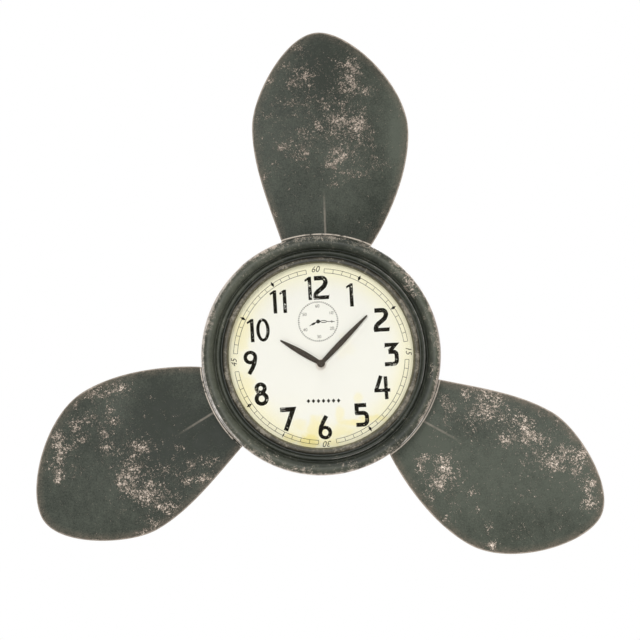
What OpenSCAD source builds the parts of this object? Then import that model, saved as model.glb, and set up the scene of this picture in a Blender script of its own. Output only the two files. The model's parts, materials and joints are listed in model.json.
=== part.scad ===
// Wall clock shaped as a three-blade propeller: a round sheet-steel hub with a dial and
// glass, three cambered blades bolted to its side, and a battery movement behind the dial.
// Modules are written as seen from the front (x right, y up, z off the wall) and stood up
// at the end, so the finished object faces -Y with +Z up. Its back rim lies on y = 0 and the
// origin is the hanging point, where the axis of the keyhole meets the wall.

/* [Bezel and dial opening] */
// Clear diameter of the dial opening
opening_d = 231; // [190:1:270]
// Width of the rounded trim ring round the opening
trim_w = 8.5; // [6:0.5:16]
// Height of the trim ring above its seat
trim_h = 4.5; // [2:0.5:8]
// Open width of each groove beside the bead
groove_w = 2; // [1.5:0.1:4]
// Radius of the small bead between the grooves
bead_r = 3; // [2:0.1:5]
// Radius of the large outer roll
roll_r = 8; // [6.5:0.5:12]
// Height of the roll's centre above the bead's centre
roll_rise = 3; // [1:0.5:8]
// Length of the collar that slips over the drum
collar_h = 6; // [5:0.5:9]
// Thickness of the case and bezel sheet
sheet = 1; // [0.6:0.1:1.4]

/* [Case] */
// Width of the drum's rear lip, the rim that rests on the wall
lip_w = 6; // [4:0.5:12]
// Depth of the back plate behind the wall plane
back_recess = 5; // [4:0.5:10]
// Thickness of the back plate
back_t = 3; // [2:0.5:5]
// Room beside the movement in the back plate's access window
window_side = 6; // [4:0.5:15]
// Room above and below the movement in the access window
window_end = 4; // [3:0.5:15]
// Thickness of the inner brackets
bracket_t = 1.2; // [0.8:0.1:2]
// Width of each inner bracket along the drum
bracket_w = 18; // [12:1:30]

/* [Dial and glass] */
// Thickness of the dial board
board_t = 3; // [2.5:0.5:5]
// Thickness of the printed dial sheet
paper_t = 0.3; // [0.2:0.1:0.6]
// Free height under the glass for the hands
hand_room = 10; // [9.5:0.5:16]
// Thickness of the flat glass
lens_t = 2; // [1.5:0.5:4]

/* [Blades] */
// Distance from the hub axis to the blade tips
tip_r = 405.5; // [340:0.5:480]
// Sideways offset of the tips from the radial line
tip_side = -3; // [-10:0.5:10]
// Right-hand half width of a blade at its root
root_right = 58.5; // [45:0.5:66]
// Left-hand half width of a blade at its root
root_left = 47; // [36:0.5:60]
// Right-hand half width of a blade at its widest
belly_right = 110; // [80:1:140]
// Left-hand half width of a blade at its widest
belly_left = 86.5; // [65:0.5:120]
// Distance from the hub axis to the widest place on the right
belly_right_at = 280; // [240:1:300]
// Distance from the hub axis to the widest place on the left
belly_left_at = 287; // [240:1:300]
// Sideways lean of the right edge at the root
flare_right = 0.59; // [0.3:0.01:0.9]
// Sideways lean of the left edge at the root
flare_left = 0.33; // [0.1:0.01:0.7]
// Thickness of the blade sheet
blade_t = 1.5; // [1:0.1:2.5]
// Blade pitch at the root in degrees
pitch_root = 8; // [0:0.5:10]
// Blade pitch at the tip in degrees
pitch_tip = 4; // [0:0.5:10]
// Forward bow across the blade at its widest
blade_bow = 7; // [0:0.5:12]
// Length of the pressed crease running out from the root
crease_l = 52; // [20:1:90]
// Height of the crease at the root
crease_h = 2.5; // [0:0.1:4]
// Half width of the crease
crease_w = 14; // [6:1:24]
// Offset of the crease to the right of the radial line
crease_at = 5.5; // [-10:0.5:15]
// Thickness of the curved saddle at each blade root
saddle_t = 1.5; // [1:0.1:2.5]

/* [Fasteners] */
// Thread diameter of the blade bolts
bolt_d = 5; // [4:0.5:6]
// Thread diameter of the case screws
screw_d = 3; // [2.5:0.1:4]
// Radial clearance of every bolt and screw hole
hole_gap = 0.1; // [0.05:0.01:0.2]

/* [Wall hanger] */
// Distance of the keyhole's round hole in from the back plate's edge
hanger_inset = 45.5; // [36:0.5:60]
// Radius of the keyhole's round hole
hanger_r = 5; // [4:0.1:6]
// Width of the keyhole's slot
hanger_slot = 4.5; // [3.5:0.1:5]
// Travel from the round hole to the end of the slot
hanger_run = 12; // [8:0.5:16]
// Thickness of the hanger plate
hanger_t = 1.5; // [1:0.1:2.5]

/* [Hands] */
// Distance of the hand arbor below the hub axis
arbor_drop = 10; // [0:0.5:15]
// Length of the minute hand from the arbor
minute_l = 83.5; // [60:0.5:95]
// Length of the hour hand from the arbor
hour_l = 58.5; // [40:0.5:75]
// Thickness of the hands
hand_t = 0.6; // [0.4:0.1:1]
// Angle of the minute hand, clockwise from straight up
minute_angle = 43.7; // [0:0.1:360]
// Angle of the hour hand, clockwise from straight up
hour_angle = 299.6; // [0:0.1:360]

/* [Movement] */
// Depth of the movement case
movement_depth = 16; // [16:0.5:20]
// Wall of the movement case
movement_wall = 1.5; // [1.4:0.1:2]
// Room inside the movement case above the arbor
wheel_room = 26.5; // [25:0.5:30]
// Distance from the arbor down to the battery bay
bay_drop = 11.2; // [10.8:0.1:14]
// Length of the battery cell
cell_l = 50.5; // [49:0.1:52]
// Diameter of the battery cell
cell_d = 14.5; // [13.5:0.1:14.9]
// Diameter of the threaded fixing boss
boss_d = 6.2; // [5.8:0.1:7]
// Diameter of the hour tube
hour_tube_d = 4.4; // [4:0.1:4.8]
// Diameter of the minute arbor
minute_arbor_d = 2.6; // [2.2:0.1:3]
// Diameter of the time-setting knob
knob_d = 12; // [9:0.5:14]
// Gear module of the hand-setting wheels
motion_module = 0.4; // [0.37:0.01:0.41]
// Gear module of the driving wheels
train_module = 0.24; // [0.22:0.01:0.25]
// Radial clearance of turning parts
run_gap = 0.05; // [0.03:0.01:0.1]

/* [Hidden] */
$fn = 96;
weld_gap = 0.05;
fit_gap = 0.15;

// radial stack of the bezel, from the opening outwards
opening_r = opening_d / 2;
trim_out = opening_r + trim_w;
groove_mid = groove_w / 2 + sheet / 2;
bead_mid = bead_r - sheet / 2;
roll_mid = roll_r - sheet / 2;
inner_groove_c = trim_out + groove_w / 2;
bead_c = inner_groove_c + groove_mid + bead_mid;
outer_groove_c = bead_c + bead_mid + groove_mid;
roll_c = outer_groove_c + groove_mid + roll_mid;
seat_in = opening_r + 2.5;
drum_r = roll_c;
drum_in = drum_r - sheet;
collar_in = drum_r + fit_gap;

// depth stack, from the wall plane forwards
back_z = back_recess + back_t;
movement_z = back_z + 2;
knob_h = movement_z - back_recess;
washer_t = 1;
movement_front_z = movement_z + movement_depth;
board_z = movement_front_z + washer_t;
paper_z = board_z + board_t;
dial_z = paper_z + paper_t;
lens_z = dial_z + hand_room;
seat_z = lens_z + lens_t + sheet / 2;
groove_z = seat_z + groove_mid;
roll_z = groove_z + roll_rise;
collar_top = roll_z - roll_mid;
collar_z = collar_top - collar_h;
drum_top = roll_z - 4;

lens_r = trim_out - 1;
spacer_w = 2;
dial_r = lens_r + 0.5;
board_r = lens_r + 3;
board_screw_r = board_r - 4;
lip_in = drum_r - lip_w;
back_r = lip_in - 0.5;
back_screw_r = back_r - 5;
spokes = [30, 150, 270];
hanger_y = back_r - hanger_inset;
hanger_half = hanger_r + 13;
hanger_low = hanger_y - 12;
hanger_high = hanger_y + hanger_run + 12;

// blade roots and saddles
blade_angles = [90, 210, 329.4];
saddle_r = drum_r + saddle_t;
saddle_z = sheet + 4;
saddle_top = collar_z - 0.5;
blade_z = (saddle_z + saddle_top) / 2;
root_r = saddle_r + weld_gap;
root_mid = (root_right - root_left) / 2;
saddle_margin = 2.2 * bolt_d;
saddle_right = asin(root_right / saddle_r) + saddle_margin * 180 / PI / saddle_r;
saddle_left = asin(root_left / saddle_r) + saddle_margin * 180 / PI / saddle_r;
bolt_right = saddle_right - 1.1 * bolt_d * 180 / PI / saddle_r;
bolt_left = saddle_left - 1.1 * bolt_d * 180 / PI / saddle_r;
bolt_head_r = 0.85 * bolt_d;
nut_flats = 1.6 * bolt_d;
nut_h = 0.8 * bolt_d;
screw_head_r = screw_d;
screw_head_h = 0.7 * screw_d;
blade_rows = 30;
blade_cols = 18;

// movement case, seen from the arbor
contact_room = 1.25;
half_in = cell_l / 2 + contact_room;
half_out = half_in + movement_wall;
floor_z = movement_z + movement_wall;
roof_z = movement_front_z - movement_wall;
split_z = movement_z + 7;
bay_gap = 0.4;
bay_top = -bay_drop;
bay_wall = 1;
cell_y = bay_top - bay_gap - cell_d / 2;
bay_low = cell_y - cell_d / 2 - bay_gap;
low_out = bay_low - movement_wall;
top_out = wheel_room + movement_wall;
cell_z = roof_z - 0.15 - cell_d / 2;
post_r = 2.5;
post_x = half_in - post_r - 0.7;
post_high = wheel_room - post_r - 0.7;
post_low = bay_top + bay_wall + post_r + 0.5;
posts = [[-post_x, post_high], [post_x, post_high], [-post_x, post_low], [post_x, post_low]];
pillar_r = 1.2;
pillar_x = post_x - post_r - 2 * pillar_r;
pillars = [[pillar_x, post_high], [pillar_x, post_low], [-pillar_x, post_low]];
window_x = half_out + window_side;
window_low = low_out - window_end;
window_high = top_out + window_end;
case_screw_r = 0.9;
arbor_r = 0.6;
pivot_z = movement_z + 0.7;

// wheel layers
plate_z = roof_z - 5.3;
plate_t = 0.8;
plate_top = plate_z + plate_t;
motion_gear_z = plate_top + 0.6;
hour_gear_z = plate_top + 2.6;
gear_t = 1.2;
thin_t = 0.8;
pinion_t = 1.4;
centre_z = plate_z - 1.6;
third_z = plate_z - 3.6;
seconds_z = plate_z - 5.5;
inter_z = plate_z - 7.2;
pinion_lead = 0.3;

// tooth counts: 15:45 and 12:48 give twelve to one, the driving wheels 1800 to one
cannon_n = 15;
motion_n = 45;
motion_pinion_n = 12;
hour_n = 48;
set_n = 15;
rotor_n = 10;
inter_n = 60;
inter_pinion_n = 12;
seconds_n = 60;
seconds_pinion_n = 10;
third_n = 75;
third_pinion_n = 10;
centre_n = 80;
pressure = 25;
tooth_out = 0.8;
tooth_in = 1.05;
tooth_slack = 0.12;

// wheel centres and the turn of each wheel that brings its teeth into mesh
function polar(r, a) = [r * cos(a), r * sin(a)];
function pitch_sum(n1, n2, m) = (n1 + n2) * m / 2;
function mesh_turn(turn, n1, n2, dir) =
    let (x = (dir - turn) * n1 / 360, f = x - floor(x))
    dir + 180 - 360 / n2 * (0.5 - f);

motion_dir = 135;
set_dir = 160;
third_dir = 30;
seconds_dir = 100;
inter_dir = 170;
rotor_dir = 200;
motion_at = polar(pitch_sum(cannon_n, motion_n, motion_module), motion_dir);
set_at = motion_at + polar(pitch_sum(motion_n, set_n, motion_module), set_dir);
third_at = polar(pitch_sum(third_pinion_n, centre_n, train_module), third_dir);
seconds_at = third_at + polar(pitch_sum(seconds_pinion_n, third_n, train_module), seconds_dir);
inter_at = seconds_at + polar(pitch_sum(inter_pinion_n, seconds_n, train_module), inter_dir);
rotor_at = inter_at + polar(pitch_sum(rotor_n, inter_n, train_module), rotor_dir);
motion_turn = mesh_turn(0, cannon_n, motion_n, motion_dir);
hour_turn = mesh_turn(motion_turn, motion_pinion_n, hour_n, motion_dir + 180);
set_turn = mesh_turn(motion_turn, motion_n, set_n, set_dir);
inter_turn = mesh_turn(0, rotor_n, inter_n, rotor_dir + 180);
seconds_turn = mesh_turn(inter_turn, inter_pinion_n, seconds_n, inter_dir + 180);
third_turn = mesh_turn(seconds_turn, seconds_pinion_n, third_n, seconds_dir + 180);
centre_turn = mesh_turn(third_turn, third_pinion_n, centre_n, third_dir + 180);

train_arbors = [third_at, seconds_at, inter_at, rotor_at];

// magnet, stator, coil and circuit board
magnet_r = 3;
stator_z = plate_z - 5.2;
stator_t = 0.8;
stator_ring_r = magnet_r + 1.9;
leg_w = 2;
yoke_w = 2.5;
coil_l = 9;
coil_r = 2.7;
coil_at = rotor_at + [1.3, bay_top + bay_wall + yoke_w + 1.8 - rotor_at.y];
leg_x = rotor_at.x - stator_ring_r + 0.2;
yoke_y = coil_at.y - yoke_w - 1;
circuit_w = 10.5;
circuit_h = 12;
circuit_at = [3.5, bay_top + bay_wall + 1.2];
circuit_z = floor_z + 1.1;

// stacking on the arbor, in front of the dial
brass_t = 0.8;
nut_t = 2;
boss_top = dial_z + brass_t + nut_t + 0.2;
hour_hand_z = boss_top + 0.7;
hour_top = hour_hand_z + 1.4;
minute_hand_z = hour_top + 0.8;
minute_top = minute_hand_z + hand_t + 1.6;
boss_bore = hour_tube_d / 2 + run_gap;
hub_disc_r = 4.6;
cap_r = 4.9;

// shared shapes
module rod(r, z0, z1) translate([0, 0, z0]) cylinder(r = r, h = z1 - z0);

module ring(r_in, r_out, z0, z1) difference() {
    rod(r_out, z0, z1);
    rod(r_in, z0 - 1, z1 + 1);
}

module slab(x0, x1, y0, y1, z0, z1) translate([x0, y0, z0]) cube([x1 - x0, y1 - y0, z1 - z0]);

module radial(a, z) rotate(a) translate([0, 0, z]) rotate([0, 90, 0]) children();

module arbor_frame() translate([0, -arbor_drop, 0]) children();

module upright() rotate([90, 0, 0]) translate([0, -hanger_y, 0]) children();

// half of a bent sheet strip, above or below its own centre
module half_band(r, z, mid, side) translate([r, z]) intersection() {
    difference() {
        circle(mid + sheet / 2);
        circle(mid - sheet / 2);
    }
    translate([-2 * mid, side > 0 ? 0 : -4 * mid]) square([4 * mid, 4 * mid]);
}

// gear teeth with involute flanks
function roll_angle(rb, r) = r <= rb ? 0 : let (t = sqrt(r * r / (rb * rb) - 1)) t * 180 / PI - atan(t);

function gear_points(n, m) =
    let (rp = n * m / 2, rb = rp * cos(pressure), ra = rp + tooth_out * m, rf = rp - tooth_in * m)
    let (half = 90 / n - tooth_slack / 2 / rp * 180 / PI + roll_angle(rb, rp))
    let (low = max(rf + 0.02, rb), radii = [rf, low, rp, ra])
    [for (i = [0 : n - 1], side = [-1, 1], k = [0 : 3])
        let (r = radii[side < 0 ? k : 3 - k])
        polar(r, i * 360 / n + side * (half - roll_angle(rb, r)))];

module gear(n, m, z, t, turn) translate([0, 0, z]) rotate(turn) linear_extrude(t)
    polygon(gear_points(n, m));

// hand outline: slim at the boss, fullest before the middle, blunt at the tip
function bezier(p, t) =
    pow(1 - t, 3) * p[0] + 3 * pow(1 - t, 2) * t * p[1] + 3 * (1 - t) * t * t * p[2] + pow(t, 3) * p[3];

function hand_side(l, full) = [[2.4, 0], [full, 0.35 * l], [full - 0.2, 0.6 * l], [0.95, l]];

function hand_points(l, full) =
    let (side = [for (i = [0 : 12]) bezier(hand_side(l, full), i / 12)])
    concat(side, [for (i = [12 : -1 : 0]) [-side[i].x, side[i].y]]);

module hand(l, full, bore, angle, z, boss_t) rotate(-angle) difference() {
    union() {
        translate([0, 0, z]) linear_extrude(hand_t) polygon(hand_points(l, full));
        rod(hub_disc_r, z, z + boss_t);
    }
    rod(bore, z - 1, z + boss_t + 1);
}

// case and bezel
module bezel_ring() color("#3f423c") difference() {
    rotate_extrude() {
        difference() {
            translate([roll_c, roll_z]) circle(roll_r);
            translate([roll_c, roll_z]) circle(roll_r - sheet);
            translate([roll_c - 2 * roll_r, roll_z - 2 * roll_r])
                square([2 * roll_r + fit_gap, 2 * roll_r]);
        }
        translate([collar_in, collar_z]) square([sheet, collar_h + sheet / 2]);
        translate([roll_c - roll_r, groove_z]) square([sheet, roll_rise]);
        half_band(outer_groove_c, groove_z, groove_mid, -1);
        half_band(bead_c, groove_z, bead_mid, 1);
        intersection() {
            half_band(inner_groove_c, groove_z, groove_mid, -1);
            translate([inner_groove_c, 0]) square([groove_w + sheet, 2 * groove_z]);
        }
        translate([seat_in, seat_z - sheet / 2]) square([inner_groove_c - seat_in, sheet]);
    }
    for (a = spokes) radial(a, collar_z + collar_h / 2)
        rod(screw_d / 2 + hole_gap, drum_r, collar_in + 2 * sheet);
}

module bezel_screws() color("#2b2c2a") for (a = spokes) radial(a, collar_z + collar_h / 2) {
    rod(screw_d / 2, drum_in - 3, collar_in + sheet);
    rod(screw_head_r, collar_in + sheet, collar_in + sheet + screw_head_h);
}

module trim_ring() color("#6d6656") rotate_extrude()
    polygon([for (i = [0 : 24]) [opening_r + trim_w / 2 * (1 + cos(i * 7.5)),
        seat_z + sheet / 2 + trim_h * sin(i * 7.5)]]);

module lens() color("#dfe9e8", 0.3) rod(lens_r, lens_z, lens_z + lens_t);

module spacer_ring() color("#2f312d") ring(lens_r - spacer_w, lens_r, dial_z, lens_z);

module dial_print() color("#efe9d2") difference() {
    rod(dial_r, paper_z, dial_z);
    arbor_frame() rod(boss_d / 2 + 0.2, paper_z - 1, dial_z + 1);
}

module dial_board() color("#8a6f4b") difference() {
    rod(board_r, board_z, paper_z);
    arbor_frame() rod(boss_d / 2 + 0.2, board_z - 1, paper_z + 1);
    for (a = spokes) rotate(a) translate([board_screw_r, 0, 0])
        rod(screw_d / 2 + hole_gap, board_z - 1, paper_z - 0.4);
}

module board_screws() color("#8d8a80") for (a = spokes) rotate(a) translate([board_screw_r, 0, 0]) {
    rod(screw_d / 2, board_z - bracket_t, paper_z - 0.5);
    rod(screw_head_r, board_z - bracket_t - screw_head_h, board_z - bracket_t);
}

module case_drum() color("#33352f") difference() {
    union() {
        ring(drum_in, drum_r, 0, drum_top);
        ring(lip_in, drum_r, 0, sheet);
    }
    for (a = spokes) radial(a, collar_z + collar_h / 2)
        rod(screw_d / 2 + hole_gap, drum_in - 2, drum_r + 2);
    for (b = blade_angles, turn = [-bolt_right, bolt_left])
        radial(b + turn, blade_z) rod(bolt_d / 2 + hole_gap, drum_in - 2, drum_r + 2);
}

module case_brackets() color("#4a4b46") for (a = spokes) difference() {
    rotate(a - bracket_w * 90 / PI / drum_in) rotate_extrude(angle = bracket_w * 180 / PI / drum_in) {
        translate([drum_in - weld_gap - bracket_t, back_z]) square([bracket_t, board_z - back_z]);
        translate([board_screw_r - 4, board_z - bracket_t])
            square([drum_in - weld_gap - board_screw_r + 4, bracket_t]);
        translate([back_screw_r - 5, back_z]) square([drum_in - weld_gap - back_screw_r + 5, bracket_t]);
    }
    rotate(a) translate([board_screw_r, 0, 0]) rod(screw_d / 2 + hole_gap, board_z - 3, board_z + 1);
    rotate(a) translate([back_screw_r, 0, 0]) rod(screw_d / 2 + hole_gap, back_z - 1, back_z + 3);
}

module back_plate() color("#4b3b2a") difference() {
    rod(back_r, back_recess, back_z);
    arbor_frame() slab(-window_x, window_x, window_low, window_high, back_recess - 1, back_z + 1);
    for (a = spokes) rotate(a) translate([back_screw_r, 0, 0])
        rod(screw_d / 2 + hole_gap, back_recess - 1, back_z + 1);
    for (y = [0, hanger_run]) translate([0, hanger_y + y, 0])
        rod(hanger_r + 3, back_recess - 1, back_z + 1);
    slab(-hanger_r - 3, hanger_r + 3, hanger_y, hanger_y + hanger_run, back_recess - 1, back_z + 1);
    for (p = rivet_places()) translate(p) rod(1.6 + hole_gap, back_recess - 1, back_z + 1);
}

module back_screws() color("#8d8a80") for (a = spokes) rotate(a) translate([back_screw_r, 0, 0]) {
    rod(screw_d / 2, back_recess, back_z + bracket_t + 3);
    rod(screw_head_r, back_recess - screw_head_h, back_recess);
}

function rivet_places() = [for (x = [-1, 1], y = [-1, 1])
    [x * (hanger_half + 6), hanger_y + hanger_run / 2 + y * (hanger_run / 2 + 5), 0]];

// hat-shaped strap: its raised middle lies on the wall plane, its feet on the back plate
module hanger_plate() color("#a3a39c") difference() {
    union() {
        slab(-hanger_half, hanger_half, hanger_low, hanger_high, 0, hanger_t);
        for (side = [-1, 1]) {
            translate([side * (hanger_half - hanger_t / 2), hanger_low, 0])
                translate([-hanger_t / 2, 0, 0]) cube([hanger_t, hanger_high - hanger_low, back_recess]);
            translate([side * (hanger_half + 6), hanger_low, back_recess - hanger_t])
                translate([-6, 0, 0]) cube([12, hanger_high - hanger_low, hanger_t]);
        }
    }
    translate([0, hanger_y, 0]) rod(hanger_r, -1, hanger_t + 1);
    translate([0, hanger_y + hanger_run, 0]) rod(hanger_slot / 2, -1, hanger_t + 1);
    slab(-hanger_slot / 2, hanger_slot / 2, hanger_y, hanger_y + hanger_run, -1, hanger_t + 1);
    for (p = rivet_places()) translate(p) rod(1.6 + hole_gap, 0, back_recess + 1);
}

module hanger_rivets() color("#b9b9b2") for (p = rivet_places()) translate(p) {
    rod(1.6, back_recess - hanger_t, back_z);
    rod(3, back_recess - hanger_t - 1, back_recess - hanger_t);
    rod(3, back_z, back_z + 1);
}

// blade outline: each edge is two curves, root to belly and belly to tip
tip_at = [tip_side, tip_r];
root_pull = 0.37;
belly_pull = 0.335;
shoulder_right = [0.45, 0.38];
shoulder_left = [0.315, 0.5];
root_right_at = [root_right, sqrt(root_r * root_r - root_right * root_right)];
root_left_at = [-root_left, sqrt(root_r * root_r - root_left * root_left)];

function edge_low(root, belly, lean, side) =
    let (rise = belly.y - root.y)
    [root, root + root_pull * rise * [side * lean, 1], belly - [0, belly_pull * rise], belly];

function edge_high(belly, pull) =
    [belly, belly + [0, pull[0] * (tip_r - belly.y)], tip_at + [pull[1] * (belly.x - tip_at.x), 0], tip_at];

function edge(low, high, t) = t < 0.5 ? bezier(low, 2 * t) : bezier(high, 2 * t - 1);

right_low = edge_low(root_right_at, [belly_right, belly_right_at], flare_right, 1);
right_high = edge_high([belly_right, belly_right_at], shoulder_right);
left_low = edge_low(root_left_at, [-belly_left, belly_left_at], flare_left, -1);
left_high = edge_high([-belly_left, belly_left_at], shoulder_left);

function fold(t) =
    let (v = (edge(left_low, left_high, t).y + edge(right_low, right_high, t).y) / 2)
    [crease_at + (tip_at.x - crease_at) * (v - root_r) / (tip_r - root_r), v];

// front-view place of a blade point, s across from left to right, t out from root to tip
function blade_flat(s, t) =
    let (l = edge(left_low, left_high, t), r = edge(right_low, right_high, t), f = fold(t))
    let (p = s < 0.5 ? l + (f - l) * 2 * s : f + (r - f) * (2 * s - 1))
    let (arc = sqrt(root_r * root_r - p.x * p.x * pow(1 - t, 2)) - blade_chord(s))
    p + [0, arc * pow(1 - t, 6)];

function blade_chord(s) =
    let (f = fold(0))
    s < 0.5 ? root_left_at.y + (f.y - root_left_at.y) * 2 * s
        : f.y + (root_right_at.y - f.y) * (2 * s - 1);

// height of the sheet's middle: pitch, forward bow and the crease at the root
function blade_rise(s, t) =
    let (p = blade_flat(s, t), w = edge(right_low, right_high, t).x - edge(left_low, left_high, t).x)
    let (turn = tan(pitch_root + (pitch_tip - pitch_root) * t), out = (p.y - root_r) / crease_l)
    blade_bow * pow(w / (belly_left + belly_right), 2) * (1 - pow(2 * s - 1, 2)) - turn * (p.x - root_mid)
    + crease_h * max(0, 1 - abs(p.x - fold(t).x) / crease_w) * max(0, 1 - max(0, out));

module blade(angle) rotate(angle - 90) {
    cols = blade_cols + 1;
    grid = blade_rows * cols;
    flat = [for (i = [0 : blade_rows - 1], j = [0 : blade_cols])
        let (p = blade_flat(j / blade_cols, i / blade_rows))
        [p.x, p.y, blade_z + blade_rise(j / blade_cols, i / blade_rows)]];
    tip_z = blade_z + blade_rise(0.5, 1);
    half = [0, 0, blade_t / 2];
    points = concat([for (p = flat) p + half], [for (p = flat) p - half],
        [[tip_at.x, tip_r, tip_z] + half, [tip_at.x, tip_r, tip_z] - half]);
    tip = 2 * grid;
    last = grid - cols;
    front = [for (i = [0 : blade_rows - 2], j = [0 : blade_cols - 1])
        let (a = i * cols + j, b = a + 1, c = a + cols, d = c + 1) each [[a, c, d], [a, d, b]]];
    front_tip = [for (j = [0 : blade_cols - 1]) [last + j, tip, last + j + 1]];
    rear = [for (f = concat(front, front_tip)) [for (k = [2, 1, 0]) f[k] == tip ? tip + 1 : f[k] + grid]];
    root = [for (j = [0 : blade_cols - 1]) each [[j, j + 1, grid + j + 1], [j, grid + j + 1, grid + j]]];
    left = [for (i = [0 : blade_rows - 2])
        let (a = i * cols, b = a + cols) each [[a, a + grid, b + grid], [a, b + grid, b]]];
    right = [for (i = [0 : blade_rows - 2])
        let (a = i * cols + blade_cols, b = a + cols) each [[a, b, b + grid], [a, b + grid, a + grid]]];
    end_left = [[last, last + grid, tip + 1], [last, tip + 1, tip]];
    end_right = [[last + blade_cols, tip, tip + 1], [last + blade_cols, tip + 1, last + blade_cols + grid]];
    polyhedron(points, concat(front, front_tip, rear, root, left, right, end_left, end_right));
}

module blade_top() color("#4b4f48") blade(blade_angles[0]);

module blade_left() color("#4b4f48") blade(blade_angles[1]);

module blade_right() color("#4b4f48") blade(blade_angles[2]);

module saddle(angle) difference() {
    rotate(angle - saddle_right) rotate_extrude(angle = saddle_right + saddle_left)
        translate([drum_r + weld_gap, saddle_z]) square([saddle_t - weld_gap, saddle_top - saddle_z]);
    for (turn = [-bolt_right, bolt_left])
        radial(angle + turn, blade_z) rod(bolt_d / 2 + hole_gap, drum_r - 2, saddle_r + 2);
}

module saddle_top_blade() color("#3a3d37") saddle(blade_angles[0]);

module saddle_left_blade() color("#3a3d37") saddle(blade_angles[1]);

module saddle_right_blade() color("#3a3d37") saddle(blade_angles[2]);

module blade_bolts() color("#777a75") for (b = blade_angles, turn = [-bolt_right, bolt_left])
    radial(b + turn, blade_z) {
        rod(bolt_d / 2, drum_in - nut_h - 2, saddle_r + 0.2);
        rod(bolt_head_r, saddle_r + 0.2, saddle_r + 0.2 + 0.6 * bolt_d);
    }

module blade_nuts() color("#777a75") for (b = blade_angles, turn = [-bolt_right, bolt_left])
    radial(b + turn, blade_z) difference() {
        translate([0, 0, drum_in - nut_h - 0.3]) cylinder(r = nut_flats / sqrt(3), h = nut_h, $fn = 6);
        rod(bolt_d / 2 + weld_gap, drum_in - nut_h - 1, drum_in + 1);
    }

// hands and what holds them
module hour_hand() color("#3b3531") arbor_frame()
    hand(hour_l, 4.3, hour_tube_d / 2 + run_gap, hour_angle, hour_hand_z, 1);

module minute_hand() color("#3b3531") arbor_frame()
    hand(minute_l, 3.95, minute_arbor_d / 2 + run_gap, minute_angle, minute_hand_z, hand_t);

module minute_cap() color("#3b3531") arbor_frame() difference() {
    rod(cap_r, minute_hand_z + hand_t, minute_top + 0.8);
    rod(minute_arbor_d / 2 + run_gap, minute_hand_z, minute_top + 0.1);
}

module brass_washer() color("#b08d45") arbor_frame()
    ring(boss_d / 2 + 0.2, boss_d / 2 + 1.5, dial_z, dial_z + brass_t);

module hex_nut() color("#b08d45") arbor_frame() difference() {
    translate([0, 0, dial_z + brass_t]) cylinder(r = (boss_d + 1.8) / sqrt(3), h = nut_t, $fn = 6);
    rod(boss_d / 2 + weld_gap, dial_z, dial_z + brass_t + nut_t + 1);
}

module rubber_washer() color("#1c1c1c") arbor_frame()
    ring(boss_d / 2 + 0.2, boss_d / 2 + 7, movement_front_z, board_z);

// movement case
module case_walls(z0, z1) {
    difference() {
        slab(-half_out, half_out, low_out, top_out, z0, z1);
        slab(-half_in, half_in, bay_low, wheel_room, z0 - 1, z1 + 1);
    }
    slab(-half_in, half_in, bay_top, bay_top + bay_wall, z0, z1);
    for (p = posts) translate(p) rod(post_r, z0, z1);
}

module movement_front() color("#222322") arbor_frame() difference() {
    union() {
        case_walls(split_z, roof_z);
        slab(-half_out, half_out, low_out, top_out, roof_z, movement_front_z);
        rod(boss_d / 2, movement_front_z, boss_top);
    }
    rod(boss_bore, roof_z - 1, boss_top + 1);
    for (p = posts) translate(p) rod(case_screw_r + hole_gap, split_z - 1, split_z + 5);
}

module movement_back() color("#222322") arbor_frame() difference() {
    union() {
        case_walls(movement_z, split_z);
        slab(-half_in, half_in, bay_top, wheel_room, movement_z, floor_z);
        for (p = stator_feet()) translate(p) rod(0.7, floor_z, stator_z);
        for (p = circuit_feet()) translate(p) rod(1, floor_z, circuit_z);
    }
    for (p = posts) translate(p) rod(case_screw_r + hole_gap, movement_z - 1, split_z + 1);
    for (p = train_arbors) translate(p) rod(arbor_r + run_gap, movement_z + 0.6, floor_z + 1);
    rod(0.8 + run_gap, movement_z + 0.6, floor_z + 1);
    translate(set_at) rod(1.5 + run_gap, movement_z - 1, floor_z + 1);
}

module movement_screws() color("#9b9b94") arbor_frame() for (p = posts) translate(p) {
    rod(case_screw_r, movement_z, split_z + 4);
    rod(1.8, movement_z - 1.3, movement_z);
}

function stator_feet() = [[leg_x + leg_w / 2, yoke_y + 1.1], [coil_at.x, yoke_y + 1.1],
    rotor_at - [magnet_r + 1.2, 0]];

function circuit_feet() = [for (c = [[0, 0], [1, 0], [0, 1]])
    circuit_at + [1.5 + c.x * (circuit_w - 3), 1.5 + c.y * (circuit_h - 3)]];

module train_plate() color("#d8d5c8") arbor_frame() difference() {
    union() {
        slab(-half_in + 0.2, half_in - 0.2, bay_top + bay_wall + 0.2, wheel_room - 0.2, plate_z, plate_top);
        for (p = pillars) translate(p) rod(pillar_r, floor_z, plate_z);
        translate(motion_at) rod(0.75, plate_z, roof_z - 0.2);
    }
    for (p = posts) translate(p) rod(post_r + 0.2, plate_z - 1, plate_top + 1);
    for (p = train_arbors) translate(p) rod(arbor_r + run_gap, plate_z - 1, plate_top + 1);
    translate(set_at) rod(1.5 + run_gap, plate_z - 1, plate_top + 1);
    rod(minute_arbor_d / 2 + run_gap, plate_z - 1, plate_top + 1);
}

// wheels that carry the hands
module minute_arbor() color("#c2a55a") arbor_frame() {
    rod(0.8, pivot_z, floor_z + 1.5);
    rod(minute_arbor_d / 2, floor_z + 1.5, minute_top);
    gear(cannon_n, motion_module, motion_gear_z - 0.2, gear_t + 0.4, 0);
}

module hour_wheel() color("#e6e2d3") arbor_frame() difference() {
    union() {
        gear(hour_n, motion_module, hour_gear_z, gear_t, hour_turn);
        rod(hour_tube_d / 2, hour_gear_z, hour_top);
    }
    rod(minute_arbor_d / 2 + run_gap, hour_gear_z - 1, hour_top + 1);
}

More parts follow.
